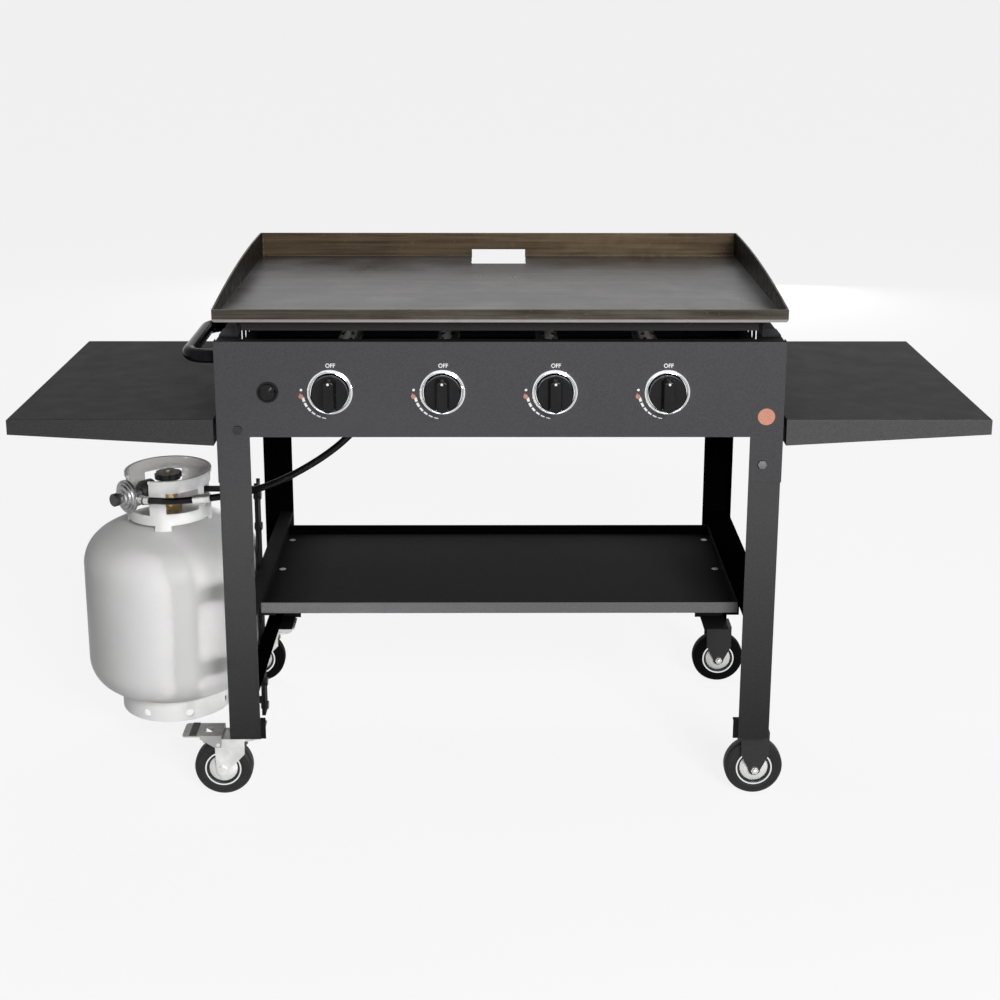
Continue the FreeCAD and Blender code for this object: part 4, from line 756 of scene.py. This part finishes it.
def make_markings():
    """What is printed round each knob and on its grip, and the plain disc at the panel's right."""
    white = paint("white_ink", (0.80, 0.80, 0.79))
    flame = paint("flame_ink", (0.45, 0.20, 0.14))
    disc_ink = paint("badge_ink", (0.55, 0.24, 0.16), 0.35)
    rim_ink = paint("rim_ink", (0.040, 0.018, 0.012), 0.40)
    for number, x in enumerate(KNOB_X, 1):
        mesh_piece("heat_marks_%d" % number, heat_marks(x), white, "frame")
        mesh_piece("flame_mark_%d" % number, flame_mark(x), flame, "frame")
        word_off(x, number, white)
        dot = circle_points(x, KNOB_Z + KNOB_DOT_HEIGHT, DOT_RADIUS)
        mesh_piece("knob_dot_%d" % number, lambda work: flat_shape(work, dot, KNOB_FACE),
                   white, "knob_%d" % number)
    disc = circle_points(*DISC_PLACE, DISC_RADIUS, DISC_POINTS)
    edge = circle_points(*DISC_PLACE, DISC_RIM_RADIUS, DISC_POINTS)
    mesh_piece("panel_disc", lambda work: flat_shape(work, disc, PANEL_FACE),
               disc_ink, "frame")
    mesh_piece("panel_disc_rim", lambda work: flat_shape(work, edge, PANEL_FACE, INK_THICKNESS / 2),
               rim_ink, "frame")


# Floor and light

FLOOR_REACH = 200
FLOOR_TONE = 0.32
SEEN_FLOOR_TONE = 0.90
FLOOR_GLOW = 0.86
WORLD_FILL = 0.09


def make_floor():
    """A floor that the camera and gloss see as nearly white, and that throws back little light."""
    mesh = bpy.data.meshes.new("floor")
    far = FLOOR_REACH
    mesh.from_pydata([(-far, -far, 0), (far, -far, 0), (far, far, 0), (-far, far, 0)], [], [(0, 1, 2, 3)])
    floor = bpy.data.objects.new("floor", mesh)
    bpy.context.scene.collection.objects.link(floor)
    material = bpy.data.materials.new("floor")
    material.use_nodes = True
    tree = material.node_tree
    tree.nodes.clear()
    output = tree.nodes.new("ShaderNodeOutputMaterial")
    diffuse = tree.nodes.new("ShaderNodeBsdfDiffuse")
    shade = tree.nodes.new("ShaderNodeMix")
    shade.data_type = "RGBA"
    shade.inputs[MIX_FIRST].default_value = (FLOOR_TONE, FLOOR_TONE, FLOOR_TONE, 1.0)
    shade.inputs[MIX_SECOND].default_value = (SEEN_FLOOR_TONE, SEEN_FLOOR_TONE, SEEN_FLOOR_TONE, 1.0)
    tree.links.new(seen_share(tree, 1.0), shade.inputs["Factor"])
    tree.links.new(shade.outputs[MIX_RESULT], diffuse.inputs["Color"])
    glow = tree.nodes.new("ShaderNodeEmission")
    glow.inputs["Color"].default_value = (1.0, 1.0, 1.0, 1.0)
    share = seen_share(tree, FLOOR_GLOW)
    mix = tree.nodes.new("ShaderNodeMixShader")
    tree.links.new(share, mix.inputs[0])
    tree.links.new(diffuse.outputs[0], mix.inputs[1])
    tree.links.new(glow.outputs[0], mix.inputs[2])
    tree.links.new(mix.outputs[0], output.inputs["Surface"])
    mesh.materials.append(material)


def seen_share(tree, strength):
    """strength for rays that show the background, directly, in gloss or through glass; 0 for the rest."""
    path = tree.nodes.new("ShaderNodeLightPath")
    total = path.outputs["Is Camera Ray"]
    for name in ("Is Glossy Ray", "Is Transmission Ray"):
        add = tree.nodes.new("ShaderNodeMath")
        add.operation = "MAXIMUM"
        tree.links.new(total, add.inputs[0])
        tree.links.new(path.outputs[name], add.inputs[1])
        total = add.outputs[0]
    scale = tree.nodes.new("ShaderNodeMath")
    scale.operation = "MULTIPLY"
    scale.inputs[1].default_value = strength
    tree.links.new(total, scale.inputs[0])
    return scale.outputs[0]


def make_world():
    """White where it is seen, and a faint even fill for the rest."""
    world = bpy.data.worlds.new("world")
    bpy.context.scene.world = world
    world.use_nodes = True
    tree = world.node_tree
    tree.nodes.clear()
    output = tree.nodes.new("ShaderNodeOutputWorld")
    plain = tree.nodes.new("ShaderNodeBackground")
    plain.inputs["Color"].default_value = (1.0, 1.0, 1.0, 1.0)
    plain.inputs["Strength"].default_value = WORLD_FILL
    white = tree.nodes.new("ShaderNodeBackground")
    white.inputs["Color"].default_value = (1.0, 1.0, 1.0, 1.0)
    white.inputs["Strength"].default_value = 1.0
    mix = tree.nodes.new("ShaderNodeMixShader")
    tree.links.new(seen_share(tree, 1.0), mix.inputs[0])
    tree.links.new(plain.outputs[0], mix.inputs[1])
    tree.links.new(white.outputs[0], mix.inputs[2])
    tree.links.new(mix.outputs[0], output.inputs["Surface"])


def area_light(name, place, aim, size, power, spread=180.0):
    """A softbox; a small spread, in degrees, keeps its light in a beam, as a grid does."""
    data = bpy.data.lights.new(name, "AREA")
    data.shape = "RECTANGLE"
    data.size, data.size_y = size
    data.spread = math.radians(spread)
    data.energy = power
    lamp = bpy.data.objects.new(name, data)
    bpy.context.scene.collection.objects.link(lamp)
    lamp.visible_camera = False
    lamp.location = place
    lamp.rotation_euler = (Vector(aim) - Vector(place)).to_track_quat("-Z", "Y").to_euler()


def make_lights():
    """Each softbox: where it stands, what it is aimed at, its size and its power in watts."""
    area_light("key_softbox", (1.4, -4.0, 2.45), (0.0, 0.0, 0.55), (1.6, 1.3), 155)
    area_light("low_softbox", (0.2, -4.2, 0.75), (-0.2, 0.0, 0.35), (1.8, 0.9), 42)
    area_light("bay_softbox", (1.75, -2.2, 0.34), (-0.48, -0.06, 0.31), (0.25, 0.6), 0.40, spread=11.0)
    area_light("back_softbox", (-0.4, 2.4, 4.6), (0.0, 0.0, 0.5), (2.0, 1.4), 45)
    area_light("rear_softbox", (0.3, 4.2, 0.35), (0.0, 0.0, 0.45), (2.4, 0.5), 42)


def main():
    make_camera()
    make_hose(MATERIALS["hose_rubber"])
    dress_nodes()
    dress_details()
    make_markings()
    make_floor()
    make_world()
    make_lights()
    bpy.context.scene.view_settings.view_transform = "Standard"


main()
